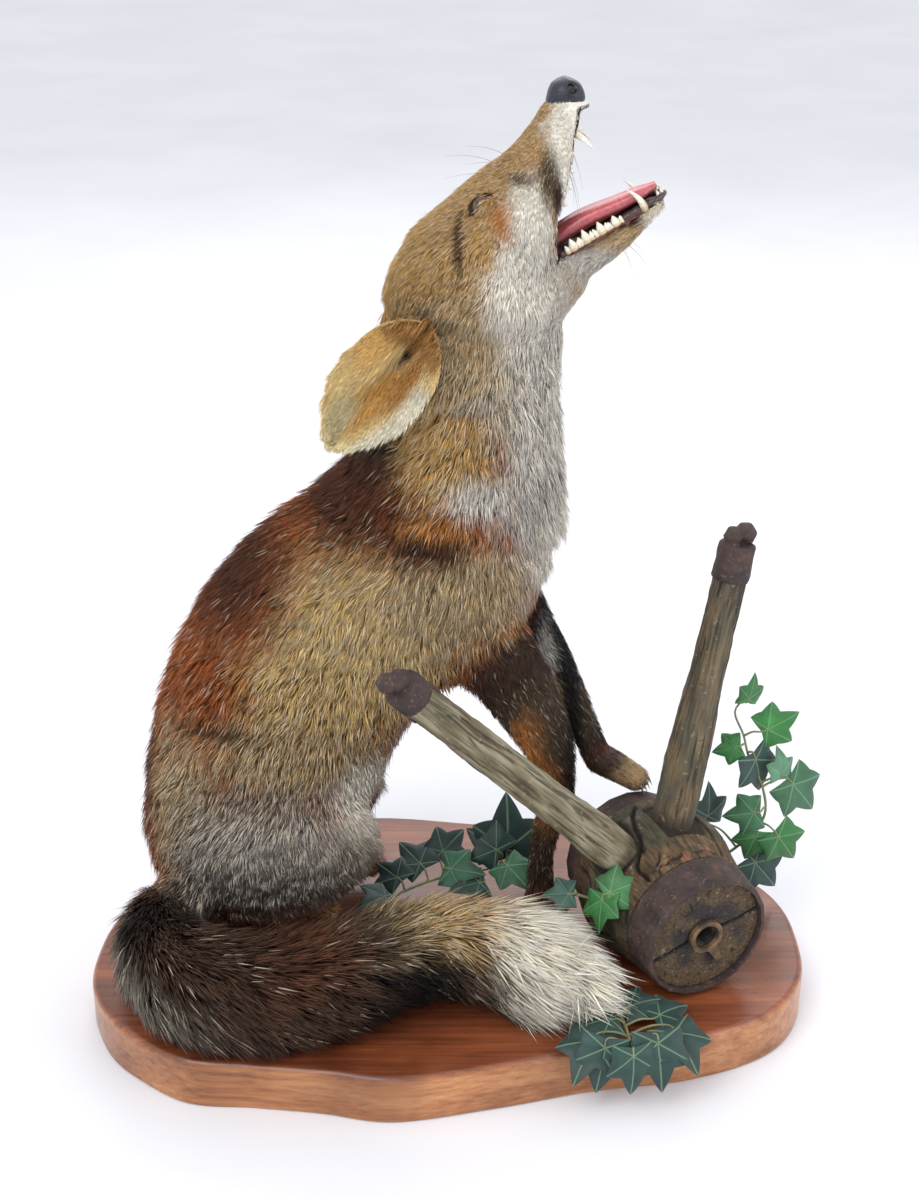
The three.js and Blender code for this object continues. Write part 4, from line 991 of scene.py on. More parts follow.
def eye_frame(side):
    """The centre, the way out, the run of the slit and the way to the upper lid, of the right or left eye."""
    flip = np.array([1, -side, 1])
    centre = np.array(EYE_PLACE)
    if side > 0:
        centre = np.array([centre[0], 2 * MIDPLANE - centre[1], centre[2]])
    out = np.array(EYE_OUT) * flip
    run = np.array(LID_RUN) * flip
    run = run - out * (run @ out)
    run /= np.linalg.norm(run)
    return centre, out, run, side * np.cross(run, out)


def lid_gap(points, side):
    """How far each point is outside the lid opening (mm, negative in it), its height on it and its reach."""
    centre, out, run, rise = eye_frame(side)
    offset = (points - centre) / MM
    along = offset @ run
    height = offset @ rise
    bow = np.sqrt(np.clip(1 - (along / LID_HALF_LENGTH) ** 2, 0, 1))
    ends = np.maximum(np.abs(along) - LID_HALF_LENGTH, 0)
    beyond = np.abs(height - LID_CAMBER * bow**2) - LID_HALF_HEIGHT * bow
    gap = np.where((ends == 0) & (beyond < 0), beyond, np.hypot(np.maximum(beyond, 0), ends))
    reach = np.where(offset @ out > 0, np.hypot(along, height), 99)
    return gap, height, reach


for radius in (14.5, 12.5):
    spots = places(skin)
    eye_zone = np.zeros(len(spots), dtype=bool)
    for side in (-1, 1):
        eye_zone |= np.linalg.norm(spots - eye_frame(side)[0], axis=1) < radius * MM
    refine(skin, eye_zone)

# The mouth: half the width between the lips, and where the palate and the lower lip line lie, all along it.
PALATE_AT = [506, 520, 531, 556, 584, 592, 597]
PALATE_HALF = [14, 21.5, 19.6, 16.2, 12.6, 11, 7]
PALATE_X = [48, 59, 62, 67, 72.5, 74, 75]
JAW_AT = [56, 66, 76, 84, 104, 119, 128, 134]
JAW_Z = [500, 505, 510.5, 514.5, 525, 533, 537.6, 541]


def mouth_depth(points):
    """How far points lie in the mouth, in millimetres, negative outside."""
    x, y, z = (points / MM).T
    side = np.abs(y - 34)
    from_palate = x - np.interp(z, PALATE_AT, PALATE_X)
    upper = np.minimum.reduce([
        np.interp(z, PALATE_AT, PALATE_HALF) + 0.6 - side, from_palate, 592 - z, z - 508, 20 - from_palate,
    ])
    floor_gap = z - np.interp(x, JAW_AT, JAW_Z)
    lower = np.minimum.reduce([floor_gap, 15 - floor_gap, 19.5 - side, 131.5 - x, x - 57])
    return np.maximum(upper, lower)


refine(skin, np.abs(mouth_depth(places(skin)) + 0.5) < 5)
spots = places(skin)
edges = edges_of(skin)
shares = shares_of(skin)
folded = mirrored_side(spots)
depth = shares @ np.array([COAT_OF[part][0] for part in FLESH])
for middle, extent, soft, less in THIN_COAT:
    depth *= 1 - less * near(folded, middle, extent, soft)
for middle, extent, soft, more in DEEP_COAT:
    depth += more * near(folded, middle, extent, soft)
depth = smoothed(depth, edges, 14)
lips = mouth_depth(spots)
depth *= 1 - 0.85 * (1 - step(1.0, 6.0, np.abs(lips)))
spots = spots - smoothed(normals_of(skin), edges, 3) * (depth * MM)[:, None]
spots = smoothed(spots, edges, 3)

# the lids close over the eyeballs, with a fold above the upper one
for side in (-1, 1):
    centre, out, run, rise = eye_frame(side)
    gap, height, reach = lid_gap(spots, side)
    offset = spots - centre
    span = np.linalg.norm(offset, axis=1)
    lid = EYE_RADIUS + (-1.3 + 2.3 * step(-0.35, 0.55, gap)) * MM
    fold = 0.7 * np.exp(-(((gap - 3.4) / 0.9) ** 2)) * (height > 0)
    lid += (0.5 * np.exp(-(((gap - 1.4) / 1.0) ** 2)) - fold) * MM
    hold = (1 - step(8.6, 13.0, reach)) * (reach < 50)
    spots += unit(offset) * ((lid - span) * hold)[:, None]

# the toes of the raised paw, parted by three grooves
TOE_START = np.array([108, 44, 148]) * MM
TOE_RUN = unit(np.array([26.0, -10.0, -11.0]))
TOE_SIDE = unit(np.cross(TOE_RUN, np.array([0, 0, 1.0])))
run = (spots - TOE_START) @ TOE_RUN / MM
sideways = (spots - TOE_START) @ TOE_SIDE / MM
move_to(skin, spots)
toe_normals = normals_of(skin)
parted = sum(np.exp(-(((sideways - centre) / 1.3) ** 2)) for centre in TOE_GROOVES)
parted *= step(8, 18, run) * near(spots, RAISED_PAW, (26, 22, 20), 0.1)
spots = spots - toe_normals * (2.0 * parted * MM)[:, None]
move_to(skin, spots)


# ---- The lie of the coat ----
# Hair runs from the nose back over the crown, down the neck and flanks to the rump, down each leg to the
# toes, and along the tail, where it also falls outwards. Combing marks say where it heads.

# where a mark is in the fox's plane (x, z in mm), and the way its hair runs there (x, z)
COMBED = [
    (72, 598, -0.55, -0.8), (60, 575, -0.55, -0.85), (78, 575, -0.12, -1), (44, 552, -0.62, -0.8),
    (66, 548, -0.2, -1), (28, 556, -0.75, -0.66), (22, 530, -0.55, -0.85), (2, 530, -0.75, -0.7),
    (-18, 500, -0.6, -0.8), (-30, 470, -0.45, -0.9), (52, 522, -0.2, -1), (38, 500, -0.22, -1),
    (10, 500, -0.5, -0.86), (126, 532, -0.85, -0.5), (104, 508, -0.85, -0.55), (84, 492, -0.7, -0.8),
    (66, 476, -0.15, -1), (64, 440, 0.18, -1), (66, 410, 0.28, -1), (74, 380, 0.45, -0.9), (60, 345, 0.3, -1),
    (36, 440, 0, -1), (16, 440, -0.3, -1), (0, 410, -0.6, -0.82), (30, 390, 0, -1), (-30, 430, -0.55, -0.85),
    (-44, 390, -0.72, -0.7), (-78, 366, -0.82, -0.58), (-10, 360, -0.6, -0.8), (20, 350, -0.2, -1),
    (50, 310, 0.12, -1), (0, 300, -0.28, -1), (-40, 320, -0.6, -0.8), (-120, 310, -0.68, -0.74),
    (-150, 250, -0.6, -0.8), (-182, 200, -0.5, -0.87), (-205, 130, -0.35, -0.94), (-100, 250, -0.55, -0.84),
    (-60, 250, -0.3, -0.95), (-10, 240, 0.05, -1), (-100, 190, -0.4, -0.92), (-40, 190, 0.1, -1),
    (-150, 150, -0.5, -0.87), (-170, 90, -0.4, -0.92), (-120, 150, -0.3, -0.95), (-110, 110, -0.08, -1),
    (-70, 140, 0.2, -0.98), (-46, 120, 0.5, -0.87), (-60, 90, 0.25, -1), (-120, 66, -0.05, -1),
    (-90, 42, 0.9, -0.3), (-60, 42, 1, -0.2),
]
# lines that the limbs and tail follow, in mm, from the body outwards
FORELEG_LINES = {
    "fox_foreleg_right": [
        (32, 6, 244), (64, 10, 184), (75, 13, 154), (72, 17, 122), (67, 20, 88), (66, 21, 62),
    ],
    "fox_forepaw_right": [(60, 21, 56), (74, 20, 47), (92, 20, 40)],
    "fox_foreleg_left": [(50, 57, 248), (68, 55, 222), (82, 52, 196), (94, 49, 172), (103, 45, 152)],
    "fox_forepaw_left": [(100, 47, 152), (119, 40, 143), (140, 32, 132)],
}
TAIL_PARTS = [part for part in FLESH if "tail" in part]
TAIL_LINE = [
    (-156, 30, 64), (-176, -2, 63), (-187, -42, 66), (-177, -88, 70), (-146, -114, 72), (-102, -117, 72),
    (-62, -98, 72), (-20, -72, 71), (20, -68, 69), (52, -79, 66), (78, -91, 64),
]


def share_of(shares, *parts):
    """How far each point belongs to some of the carved forms."""
    return shares[:, [FLESH.index(part) for part in parts]].sum(axis=1)


def flattened(ways, ups):
    """The ways without what they have of the ways up."""
    return ways - (ways * ups).sum(axis=1)[:, None] * ups


def beside(points, line):
    """For each point, its share along the line, and the nearest place and direction of the line."""
    marks, ways = sampled(line)
    nearest = np.argmin(((points[:, None, :] - marks[None]) ** 2).sum(axis=2), axis=1)
    return nearest / (len(marks) - 1), marks[nearest], ways[nearest]


spots = places(skin)
normals = normals_of(skin)
edges = edges_of(skin)
shares = shares_of(skin)
folded = mirrored_side(spots)
marks = np.array(COMBED, dtype=float)
gap = ((spots[:, None, (0, 2)] / MM - marks[None, :, :2]) ** 2).sum(axis=2)
pull = 1 / (gap + 90) ** 1.8
flow = pull @ unit(marks[:, 2:]) / pull.sum(axis=1)[:, None]
lie = np.stack([flow[:, 0], np.zeros(len(flow)), flow[:, 1]], axis=1)
# on the chest and throat the hair also parts sideways from the middle
front = step(0.2, 0.8, normals[:, 0]) * step(0.30, 0.36, spots[:, 2]) * (1 - step(0.47, 0.5, spots[:, 2]))
lie[:, 1] += 0.25 * front * np.sign(spots[:, 1] - MIDPLANE)
for part, line in FORELEG_LINES.items():
    share = share_of(shares, part)[:, None]
    lie = lie * (1 - share) + share * beside(spots, line)[2]
tail_share = share_of(shares, *TAIL_PARTS)
along_tail, tail_mid, tail_way = beside(spots, TAIL_LINE)
outwards = unit(spots - tail_mid)
brush = step(0.76, 0.92, along_tail)[:, None]
fall = np.array([0, 0, -1.0])
tail_lie = 0.8 * tail_way + (0.55 - 0.25 * brush) * fall + (0.10 + 0.40 * brush) * outwards
tail_start = 1 - step(0.0, 0.12, along_tail)[:, None]
tail_lie += tail_start * np.array([-0.3, -0.2, -0.4])
lie = lie * (1 - tail_share[:, None]) + tail_share[:, None] * tail_lie
lie = unit(flattened(lie, normals))
for _ in range(4):
    lie = unit(flattened(smoothed(lie, edges, 3), normals))


# ---- The markings of the coat ----
# A winter coat: rust along the back, straw on the flank, grizzled grey on the haunch, white on cheek and
# throat, black legs, and a dark brush with a white tip. Some dark patches, in the parting over the haunch and
# on the tail, are painted shade.

# each kind of hair: its colour near the skin, darker partly as underfur and partly as painted shade between
# the locks, its shaft and its tip, and the share that ends black or pale
HAIRS = {
    "rust": ((66, 28, 15), (150, 78, 38), (190, 114, 60), 0.20, 0.10),
    "dark_rust": ((34, 18, 13), (88, 52, 36), (120, 76, 52), 0.42, 0.01),
    "straw": ((118, 86, 46), (188, 154, 92), (226, 202, 146), 0.10, 0.34),
    "buff": ((106, 80, 54), (174, 144, 100), (220, 198, 154), 0.16, 0.36),
    "grizzle": ((92, 82, 76), (152, 138, 126), (218, 206, 193), 0.18, 0.42),
    "grey": ((112, 106, 104), (170, 165, 160), (222, 218, 212), 0.14, 0.44),
    "white": ((206, 200, 188), (230, 225, 214), (246, 243, 236), 0.01, 0.60),
    "throat": ((126, 122, 120), (194, 189, 182), (240, 237, 230), 0.10, 0.60),
    "ochre": ((116, 82, 40), (184, 140, 76), (222, 188, 122), 0.10, 0.24),
    "orange": ((120, 66, 28), (186, 118, 54), (216, 156, 88), 0.06, 0.14),
    "gold": ((108, 80, 46), (176, 136, 82), (216, 184, 130), 0.14, 0.30),
    "umber": ((34, 22, 16), (66, 45, 33), (96, 70, 52), 0.40, 0.02),
    "black": ((9, 8, 9), (22, 18, 19), (36, 31, 31), 0.50, 0.0),
    "sable": ((34, 27, 22), (84, 69, 54), (122, 104, 82), 0.40, 0.08),
    "brush": ((52, 46, 42), (104, 97, 88), (148, 140, 126), 0.28, 0.10),
    "cream": ((198, 192, 176), (226, 221, 206), (245, 242, 232), 0.00, 0.50),
}
# the kind of hair, the middle of its patch and half its extent (mm), and how soft its edge is
BODY_PATCHES = [
    ("rust", (-120, 34, 260), (400, 300, 500), 0.2),
    ("straw", (-46, -40, 272), (56, 84, 70), 0.4),
    ("straw", (-84, -50, 240), (44, 60, 40), 0.5),
    ("buff", (14, -30, 304), (52, 66, 40), 0.4),
    ("buff", (-96, -46, 192), (62, 50, 30), 0.5),
    ("buff", (-174, -30, 150), (26, 60, 60), 0.5),
    ("grizzle", (-112, -50, 112), (84, 70, 62), 0.35),
    ("grey", (-118, -60, 96), (62, 60, 44), 0.5),
    ("buff", (-66, -50, 196), (44, 44, 14), 0.6),
    ("dark_rust", (-56, 0, 374), (40, 90, 40), 0.5),
    ("dark_rust", (-128, 34, 312), (40, 70, 40), 0.6),
    ("dark_rust", (-206, 34, 190), (18, 60, 90), 0.5),
    ("umber", (-36, -10, 402), (30, 60, 20), 0.5),
    ("black", (-24, -22, 405), (24, 24, 13), 0.5),
    ("dark_rust", (-8, -30, 346), (26, 34, 20), 0.6),
    # a black and an umber line where the flank's hair parts over the haunch: painted shade in the parting
    ("black", (-140, -50, 209), (26, 40, 5), 0.7),
    ("umber", (-168, -40, 209), (14, 40, 4.6), 0.7),
    ("white", (-52, -20, 160), (20, 60, 24), 0.5),
    ("white", (-42, 0, 132), (14, 60, 24), 0.6),
    ("grey", (20, 34, 196), (70, 40, 26), 0.6),
    ("buff", (14, -10, 444), (44, 70, 46), 0.5),
    ("throat", (66, 34, 400), (38, 80, 110), 0.4),
    ("grizzle", (22, -20, 430), (16, 40, 7), 0.7),
    ("ochre", (2, -24, 398), (26, 50, 34), 0.45),
    ("throat", (24, -10, 372), (20, 60, 12), 0.5),
    ("grey", (60, 34, 356), (26, 60, 26), 0.5),
    ("orange", (-2, -36, 352), (20, 40, 7), 0.6),
    ("umber", (-12, -40, 340), (20, 40, 6), 0.6),
    ("white", (74, 34, 322), (22, 60, 34), 0.5),
]
HEAD_PATCHES = [
    ("gold", (30, 34, 540), (200, 80, 110), 0.2),
    ("ochre", (-12, 20, 490), (30, 60, 36), 0.5),
    ("buff", (16, 0, 470), (34, 60, 26), 0.5),
    ("throat", (58, 34, 470), (30, 80, 40), 0.4),
    ("white", (46, 14, 503), (22, 60, 38), 0.35),
    ("white", (52, 10, 530), (14, 50, 26), 0.35),
    ("white", (79.5, 16, 581), (18, 26, 31), 0.25),
    ("white", (73, 12, 548), (8, 26, 20), 0.4),
    ("sable", (62, 15, 557), (5, 24, 15), 0.7),
    ("umber", (67, 13, 546), (3.0, 24, 13), 0.5),
    ("sable", (47, 17, 556), (6, 20, 3), 1.0),
    ("orange", (35, 8, 534), (7, 30, 10), 0.8),
    ("ochre", (26, 4, 521), (7, 30, 12), 0.6),
    ("umber", (12.5, 4, 519), (2.2, 30, 16), 0.6),
    ("grey", (100, 34, 506), (40, 60, 14), 0.5),
    ("buff", (108, 34, 518), (26, 60, 8), 0.5),
    ("umber", (112, 34, 528), (12, 60, 4), 0.5),
    ("white", (132, 34, 527), (10, 30, 11), 0.5),
]
FORELEG_PATCHES = {
    "fox_foreleg_right": [
        ("umber", (60, 10, 180), (80, 60, 200), 0.2), ("sable", (60, -6, 200), (26, 26, 34), 0.5),
        ("orange", (52, 8, 160), (12, 40, 50), 0.5), ("black", (92, 20, 170), (14, 60, 60), 0.5),
        ("orange", (62, 10, 130), (16, 40, 34), 0.6), ("sable", (66, 20, 80), (30, 40, 40), 0.5),
    ],
    "fox_foreleg_left": [
        ("black", (80, 50, 200), (90, 60, 120), 0.2), ("grey", (66, 38, 216), (8, 14, 40), 0.5),
        ("buff", (72, 37, 196), (6, 12, 20), 0.5), ("sable", (98, 40, 200), (8, 30, 50), 0.5),
    ],
    "fox_forepaw_right": [
        ("sable", (70, 20, 50), (60, 60, 40), 0.2), ("ochre", (84, 20, 44), (12, 30, 14), 0.5),
    ],
    "fox_forepaw_left": [
        ("umber", (110, 42, 145), (60, 60, 40), 0.2), ("buff", (128, 38, 142), (14, 22, 8), 0.6),
    ],
}
FOOT_PATCH = ("gold", (-84, 34, 46), (70, 60, 18), 0.5)
# along the tail: share of its length, hair on its upper side, on its flank and on its lower fringe
# the umber and black on the upper side from 0.15 to about 0.35 are painted shadow cast by the haunch; the
# black flank and fringe further on are black fur with painted shade under the raised tail
TAIL_BANDS = [
    (0.00, "orange", "buff", "buff"), (0.07, "gold", "grizzle", "buff"), (0.15, "umber", "brush", "brush"),
    (0.25, "black", "brush", "black"), (0.34, "umber", "brush", "black"), (0.45, "umber", "umber", "black"),
    (0.55, "dark_rust", "umber", "black"), (0.65, "sable", "black", "black"),
    (0.74, "buff", "black", "black"), (0.82, "gold", "sable", "black"),
    (0.885, "cream", "brush", "brush"), (0.93, "cream", "cream", "cream"),
    (1.00, "cream", "cream", "cream"),
]
HAIR_NAMES = list(HAIRS)
HEAD_PARTS = ("fox_head", "fox_lower_jaw")
HIND_PARTS = ("fox_hind_leg_right", "fox_hind_leg_left")


def painted(points, patches):
    """Shares of the kinds of hair at each point, each patch laid over the ones before it."""
    kinds = np.zeros((len(points), len(HAIRS)))
    ragged = 1 + 0.09 * wobble(points, 16, 5) + 0.06 * wobble(points, 6, 6)
    for kind, middle, extent, soft in patches:
        gap = np.linalg.norm((points - np.array(middle) * MM) / (np.array(extent) * MM), axis=1) * ragged
        cover = 1 - step(1 - soft, 1 + soft, gap)
        kinds *= 1 - cover[:, None]
        kinds[:, HAIR_NAMES.index(kind)] += cover
    return kinds


def tail_kinds(points):
    """Shares of the kinds of hair at points of the tail."""
    share, middle, _ = beside(points, TAIL_LINE)
    height = (points - middle)[:, 2] / (30 * MM) + 0.12 * wobble(points, 14, 8)
    share = share + 0.012 * wobble(points, 12, 9)
    upper = step(0.15, 0.75, height)[:, None]
    lower = step(0.30, 0.85, -height)[:, None]
    stops = [band[0] for band in TAIL_BANDS]
    kinds = 0
    for column, cover in ((1, upper), (3, lower), (2, 1 - upper - lower)):
        shares = ([float(band[column] == kind) for band in TAIL_BANDS] for kind in HAIR_NAMES)
        along = [np.interp(share, stops, each) for each in shares]
        kinds = kinds + np.stack(along, axis=1) * cover
    return kinds


def kinds_at(points, shares):
    """Shares of the kinds of hair at points whose shares of the carved forms are known."""
    folded = mirrored_side(points)
    kinds = painted(folded, BODY_PATCHES)
    layers = [(share_of(shares, *HEAD_PARTS), painted(folded, HEAD_PATCHES))]
    foot = share_of(shares, *HIND_PARTS) * (1 - step(0.046, 0.056, points[:, 2]))
    layers.append((foot, painted(points, [FOOT_PATCH])))
    for part, patches in FORELEG_PATCHES.items():
        layers.append((share_of(shares, part), painted(points, patches)))
    layers.append((share_of(shares, *TAIL_PARTS), tail_kinds(points)))
    for cover, layer in layers:
        kinds = kinds * (1 - cover[:, None]) + layer * cover[:, None]
    return kinds / np.maximum(kinds.sum(axis=1), 1e-6)[:, None]


HAIR_COLOURS = np.array([[linear(tone) for tone in HAIRS[kind][:3]] for kind in HAIR_NAMES])
HAIR_ENDS = np.array([HAIRS[kind][3:] for kind in HAIR_NAMES])
BLACK_END = linear((30, 22, 20))
PALE_END = linear((238, 226, 200))


# ---- The coat ----
# Fine tapered locks, rooted in the skin. Each leaves it at a low angle, bends over and lies on its
# neighbours, and their tips draw together in small clumps.

# name: the forms it grows on, which side of the fox (-1 right, 1 left, 0 both), from and to what height
# (mm), how many locks it has, and how wide its clumps are (mm)
COAT_PIECES = {
    "coat_cheek_right": (HEAD_PARTS, -1, 0, 527, 21700, 2.6),
    "coat_muzzle_right": (HEAD_PARTS, -1, 527, 700, 19700, 2.0),
    "coat_head_left": (HEAD_PARTS, 1, 0, 700, 19600, 2.4),
    "coat_neck_right": (("fox_neck",), -1, 0, 700, 22600, 5.0),
    "coat_neck_left": (("fox_neck",), 1, 0, 700, 9900, 5.0),
    "coat_shoulder_right": (("fox_trunk",), -1, 262, 700, 21700, 5.5),
    "coat_flank_right": (("fox_trunk",), -1, 0, 262, 18100, 5.5),
    "coat_body_left": (("fox_trunk",), 1, 0, 700, 18000, 5.5),
    "coat_haunch_right": (("fox_hind_leg_right",), 0, 0, 700, 21700, 4.6),
    "coat_haunch_left": (("fox_hind_leg_left",), 0, 0, 700, 6300, 4.6),
    "coat_foreleg_right": (("fox_foreleg_right", "fox_forepaw_right"), 0, 0, 700, 9500, 3.0),
    "coat_foreleg_left": (("fox_foreleg_left", "fox_forepaw_left"), 0, 0, 700, 8100, 2.6),
    "coat_tail_root": (("fox_tail_root",), 0, 0, 700, 9700, 7.5),
    "coat_tail_middle": (("fox_tail_middle",), 0, 0, 700, 12600, 7.5),
    "coat_tail_tip": (("fox_tail_tip",), 0, 0, 700, 6900, 8.5),
}
# the lines that the pieces are unwrapped round
BODY_LINE = [
    (-150, 34, 62), (-108, 34, 165), (-82, 34, 215), (-52, 34, 260), (-20, 34, 302), (10, 34, 350),
    (13, 34, 390), (17, 34, 440), (22, 34, 487), (48, 34, 538), (66, 34, 585),
]
HIND_LINE = [(-150, -4, 60), (-110, -8, 110), (-60, -4, 128)]
LOCK_PATCH = 0.003  # the width of a lock's own patch in the unwrap
LENGTH, LIFT, THICKNESS = 1, 2, 3  # where the traits of COAT_OF are
# how the traits change: which, by a share of itself or plus an amount, middle and half extent (mm), softness
COAT_SHARES = [
    (LENGTH, -0.55, (66, 26, 580), (30, 30, 48), 0.4), (LENGTH, -0.34, (30, 14, 540), (26, 26, 24), 0.4),
    (LENGTH, -0.55, (84, 26, 597), (10, 20, 12), 0.4), (THICKNESS, 0.7, (66, 26, 575), (34, 34, 60), 0.4),
]
COAT_AMOUNTS = [
    (LENGTH, 5, (24, 0, 478), (34, 34, 24), 0.5), (LENGTH, 3.5, (66, 34, 380), (36, 50, 60), 0.5),
    (LIFT, 5, (72, 34, 378), (30, 50, 34), 0.5),
]
FOOT_SHORTER, BRUSH_LONGER = 9.5, 5  # mm
SOLE_HEIGHT = 0.0345
FLYAWAY = 0.05  # the share of locks that stand off
END_STRENGTH = 0.7  # how much of a dark or pale end's own colour its tip takes
# how a lock's sides meet: root 0, the waist's three corners 1 to 3, tip 4; and where those are in its patch
LOCK_SIDES = np.array([(0, 2, 1), (0, 3, 2), (0, 1, 3), (1, 2, 4), (2, 3, 4), (3, 1, 4)])
LOCK_CUT = np.array([(0.5, 0), (0, 0.5), (1, 0.5), (0.5, 0.6), (0.5, 1)]) * LOCK_PATCH

triangles = triangles_of(skin)
corners = spots[triangles]
areas = np.linalg.norm(np.cross(corners[:, 1] - corners[:, 0], corners[:, 2] - corners[:, 0]), axis=1) / 2
middles = corners.mean(axis=1)

# the traits at each vertex: hair is shortest on the muzzle and the feet, longest on the ruff and the brush
traits = shares @ np.array([COAT_OF[part] for part in FLESH])
for trait, share, middle, extent, soft in COAT_SHARES:
    traits[:, trait] *= 1 + share * near(folded, middle, extent, soft)
for trait, amount, middle, extent, soft in COAT_AMOUNTS:
    traits[:, trait] += amount * near(folded, middle, extent, soft)
foot_share = share_of(shares, *HIND_PARTS) * (1 - step(0.046, 0.06, spots[:, 2]))
traits[:, LENGTH] -= FOOT_SHORTER * foot_share
traits[:, LENGTH] += BRUSH_LONGER * step(0.8, 0.93, along_tail) * tail_share

# no hair grows in the mouth, on the lips, on the lids' edges or under the feet
bare = step(-1.6, -0.8, mouth_depth(spots))
for side in (-1, 1):
    gap, height, reach = lid_gap(spots, side)
    bare = np.maximum(bare, (1 - step(1.2, 2.0, gap)) * (reach < 14))
bare = np.maximum(bare, (spots[:, 2] < SOLE_HEIGHT).astype(float))
bare = np.maximum(bare, near(folded, (72, 30, 606), (12, 13, 8), 0.2))
thickness = np.maximum(traits[:, THICKNESS] * (1 - bare), 0)
draw = np.random.default_rng(11)


def blend(values, pick, weights):
    return np.einsum("nk,nkd->nd", weights, values[triangles[pick]])


def clumps(root, cell):
    """The heart of the clump that each root belongs to, and a number from 0 to 1 that the clump shares."""
    grid = np.floor(root / cell)
    best = np.full(len(root), np.inf)
    heart = np.zeros((len(root), 3))
    token = np.zeros(len(root))
    churn = np.array([[12.9898, 39.346, 73.156], [78.233, 11.135, 52.235], [37.719, 83.155, 9.151]])
    for shift in np.ndindex(3, 3, 3):
        corner = grid + np.array(shift) - 1
        wave = np.sin(corner @ churn) * 43758.5453
        wave -= np.floor(wave)
        spot = (corner + wave) * cell
        gap = np.linalg.norm(spot - root, axis=1)
        closer = gap < best
        best[closer] = gap[closer]
        heart[closer] = spot[closer]
        token[closer] = wave[closer, 0]
    return heart, token


def sown(parts, side, low, high, count):
    """Where the locks of a piece grow: the skin's triangles and the places in them."""
    chosen = share_of(shares, *parts)[triangles].mean(axis=1) > 0.5
    if side:
        chosen &= (middles[:, 1] - MIDPLANE) * side >= 0
    chosen &= (middles[:, 2] >= low * MM) & (middles[:, 2] < high * MM)
    weight = areas * thickness[triangles].mean(axis=1) * chosen
    pick = draw.choice(len(triangles), size=count, p=weight / weight.sum())
    u = draw.random((count, 2))
    flip = u.sum(axis=1) > 1
    u[flip] = 1 - u[flip]
    return pick, np.stack([1 - u.sum(axis=1), u[:, 0], u[:, 1]], axis=1)


def lock_tones(kind, root, token, count):
    """The colours of each lock at its root, its shaft and its tip."""
    tones = np.einsum("nk,kcd->ncd", kind, HAIR_COLOURS)
    ends = kind @ HAIR_ENDS
    vary = 1 + draw.normal(0, 0.12, count) + 0.22 * (token - 0.5) + 0.07 * wobble(root, 30, 31)
    tones = tones * np.clip(vary, 0.5, 1.6)[:, None, None]
    fate = draw.random(count)
    dark = (fate < ends[:, 0])[:, None]
    pale = (fate > 1 - ends[:, 1])[:, None]
    for some, end in ((dark, BLACK_END), (pale, PALE_END)):
        tones[:, 2] = np.where(some, end * END_STRENGTH + tones[:, 2] * (1 - END_STRENGTH), tones[:, 2])
    tones[:, 1] = np.where(dark, tones[:, 1] * 0.62, tones[:, 1])
    tones[:, 1] = np.where(pale, tones[:, 1] * 0.7 + PALE_END * 0.3, tones[:, 1])
    return tones


def unwrapped(label, parts, root):
    """The place of each root on an unwrap of the skin round the middle line of its limb, tail or body."""
    line = BODY_LINE
    if "tail" in label:
        line = TAIL_LINE
    elif "haunch" in label:
        line = HIND_LINE
    elif "foreleg" in label:
        line = FORELEG_LINES[parts[0]] + FORELEG_LINES[parts[1]][1:]
    share, centre, axis = beside(root, line)
    side_way = unit(np.cross(axis, np.array([0.31, 0.9, 0.29])))
    other_way = np.cross(axis, side_way)
    offset = root - centre
    turn = np.arctan2((offset * other_way).sum(axis=1), (offset * side_way).sum(axis=1)) / (2 * math.pi) + 0.5
    run = share + (offset * axis).sum(axis=1) / 0.6
    return np.stack([turn, (run - run.min()) / np.ptp(run)], axis=1) * 0.99 + 0.003


def grown(label, root, up, way, length, lift, wide, inward, tones, home):
    """A piece of closed spindles: each lock's root, its flat three-sided waist and its tip."""
    across = np.cross(up, way)
    first = way * np.cos(lift)[:, None] + up * np.sin(lift)[:, None]
    second = way * np.cos(lift * 0.4)[:, None] + up * np.sin(lift * 0.4)[:, None]
    middle = root + first * (length * 0.48)[:, None] + inward * 0.22
    tip = middle + second * (length * 0.52)[:, None] + inward * 0.36
    waist = [middle + across * (wide * a)[:, None] + up * (wide * b)[:, None]
             for a, b in ((-0.5, -0.1), (0.5, -0.1), (0.0, 0.28))]
    verts = np.stack([root, *waist, tip], axis=1).reshape(-1, 3)
    faces = (LOCK_SIDES[None] + 5 * np.arange(len(root))[:, None, None]).reshape(-1, 3)
    patches = (home[:, None] + LOCK_CUT[None]).reshape(-1, 2)
    data = bpy.data.meshes.new(label)
    set_triangles(data, verts, faces)
    data.uv_layers.new(name="OFBake").data.foreach_set("uv", patches[faces.ravel()].ravel())
    made = bpy.data.objects.new(label, data)
    scene.collection.objects.link(made)
    add_colours(made, tones[:, [0, 1, 1, 1, 2]].reshape(-1, 3))
    data.materials.append(hair.material)
    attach(made, "root")
    return made


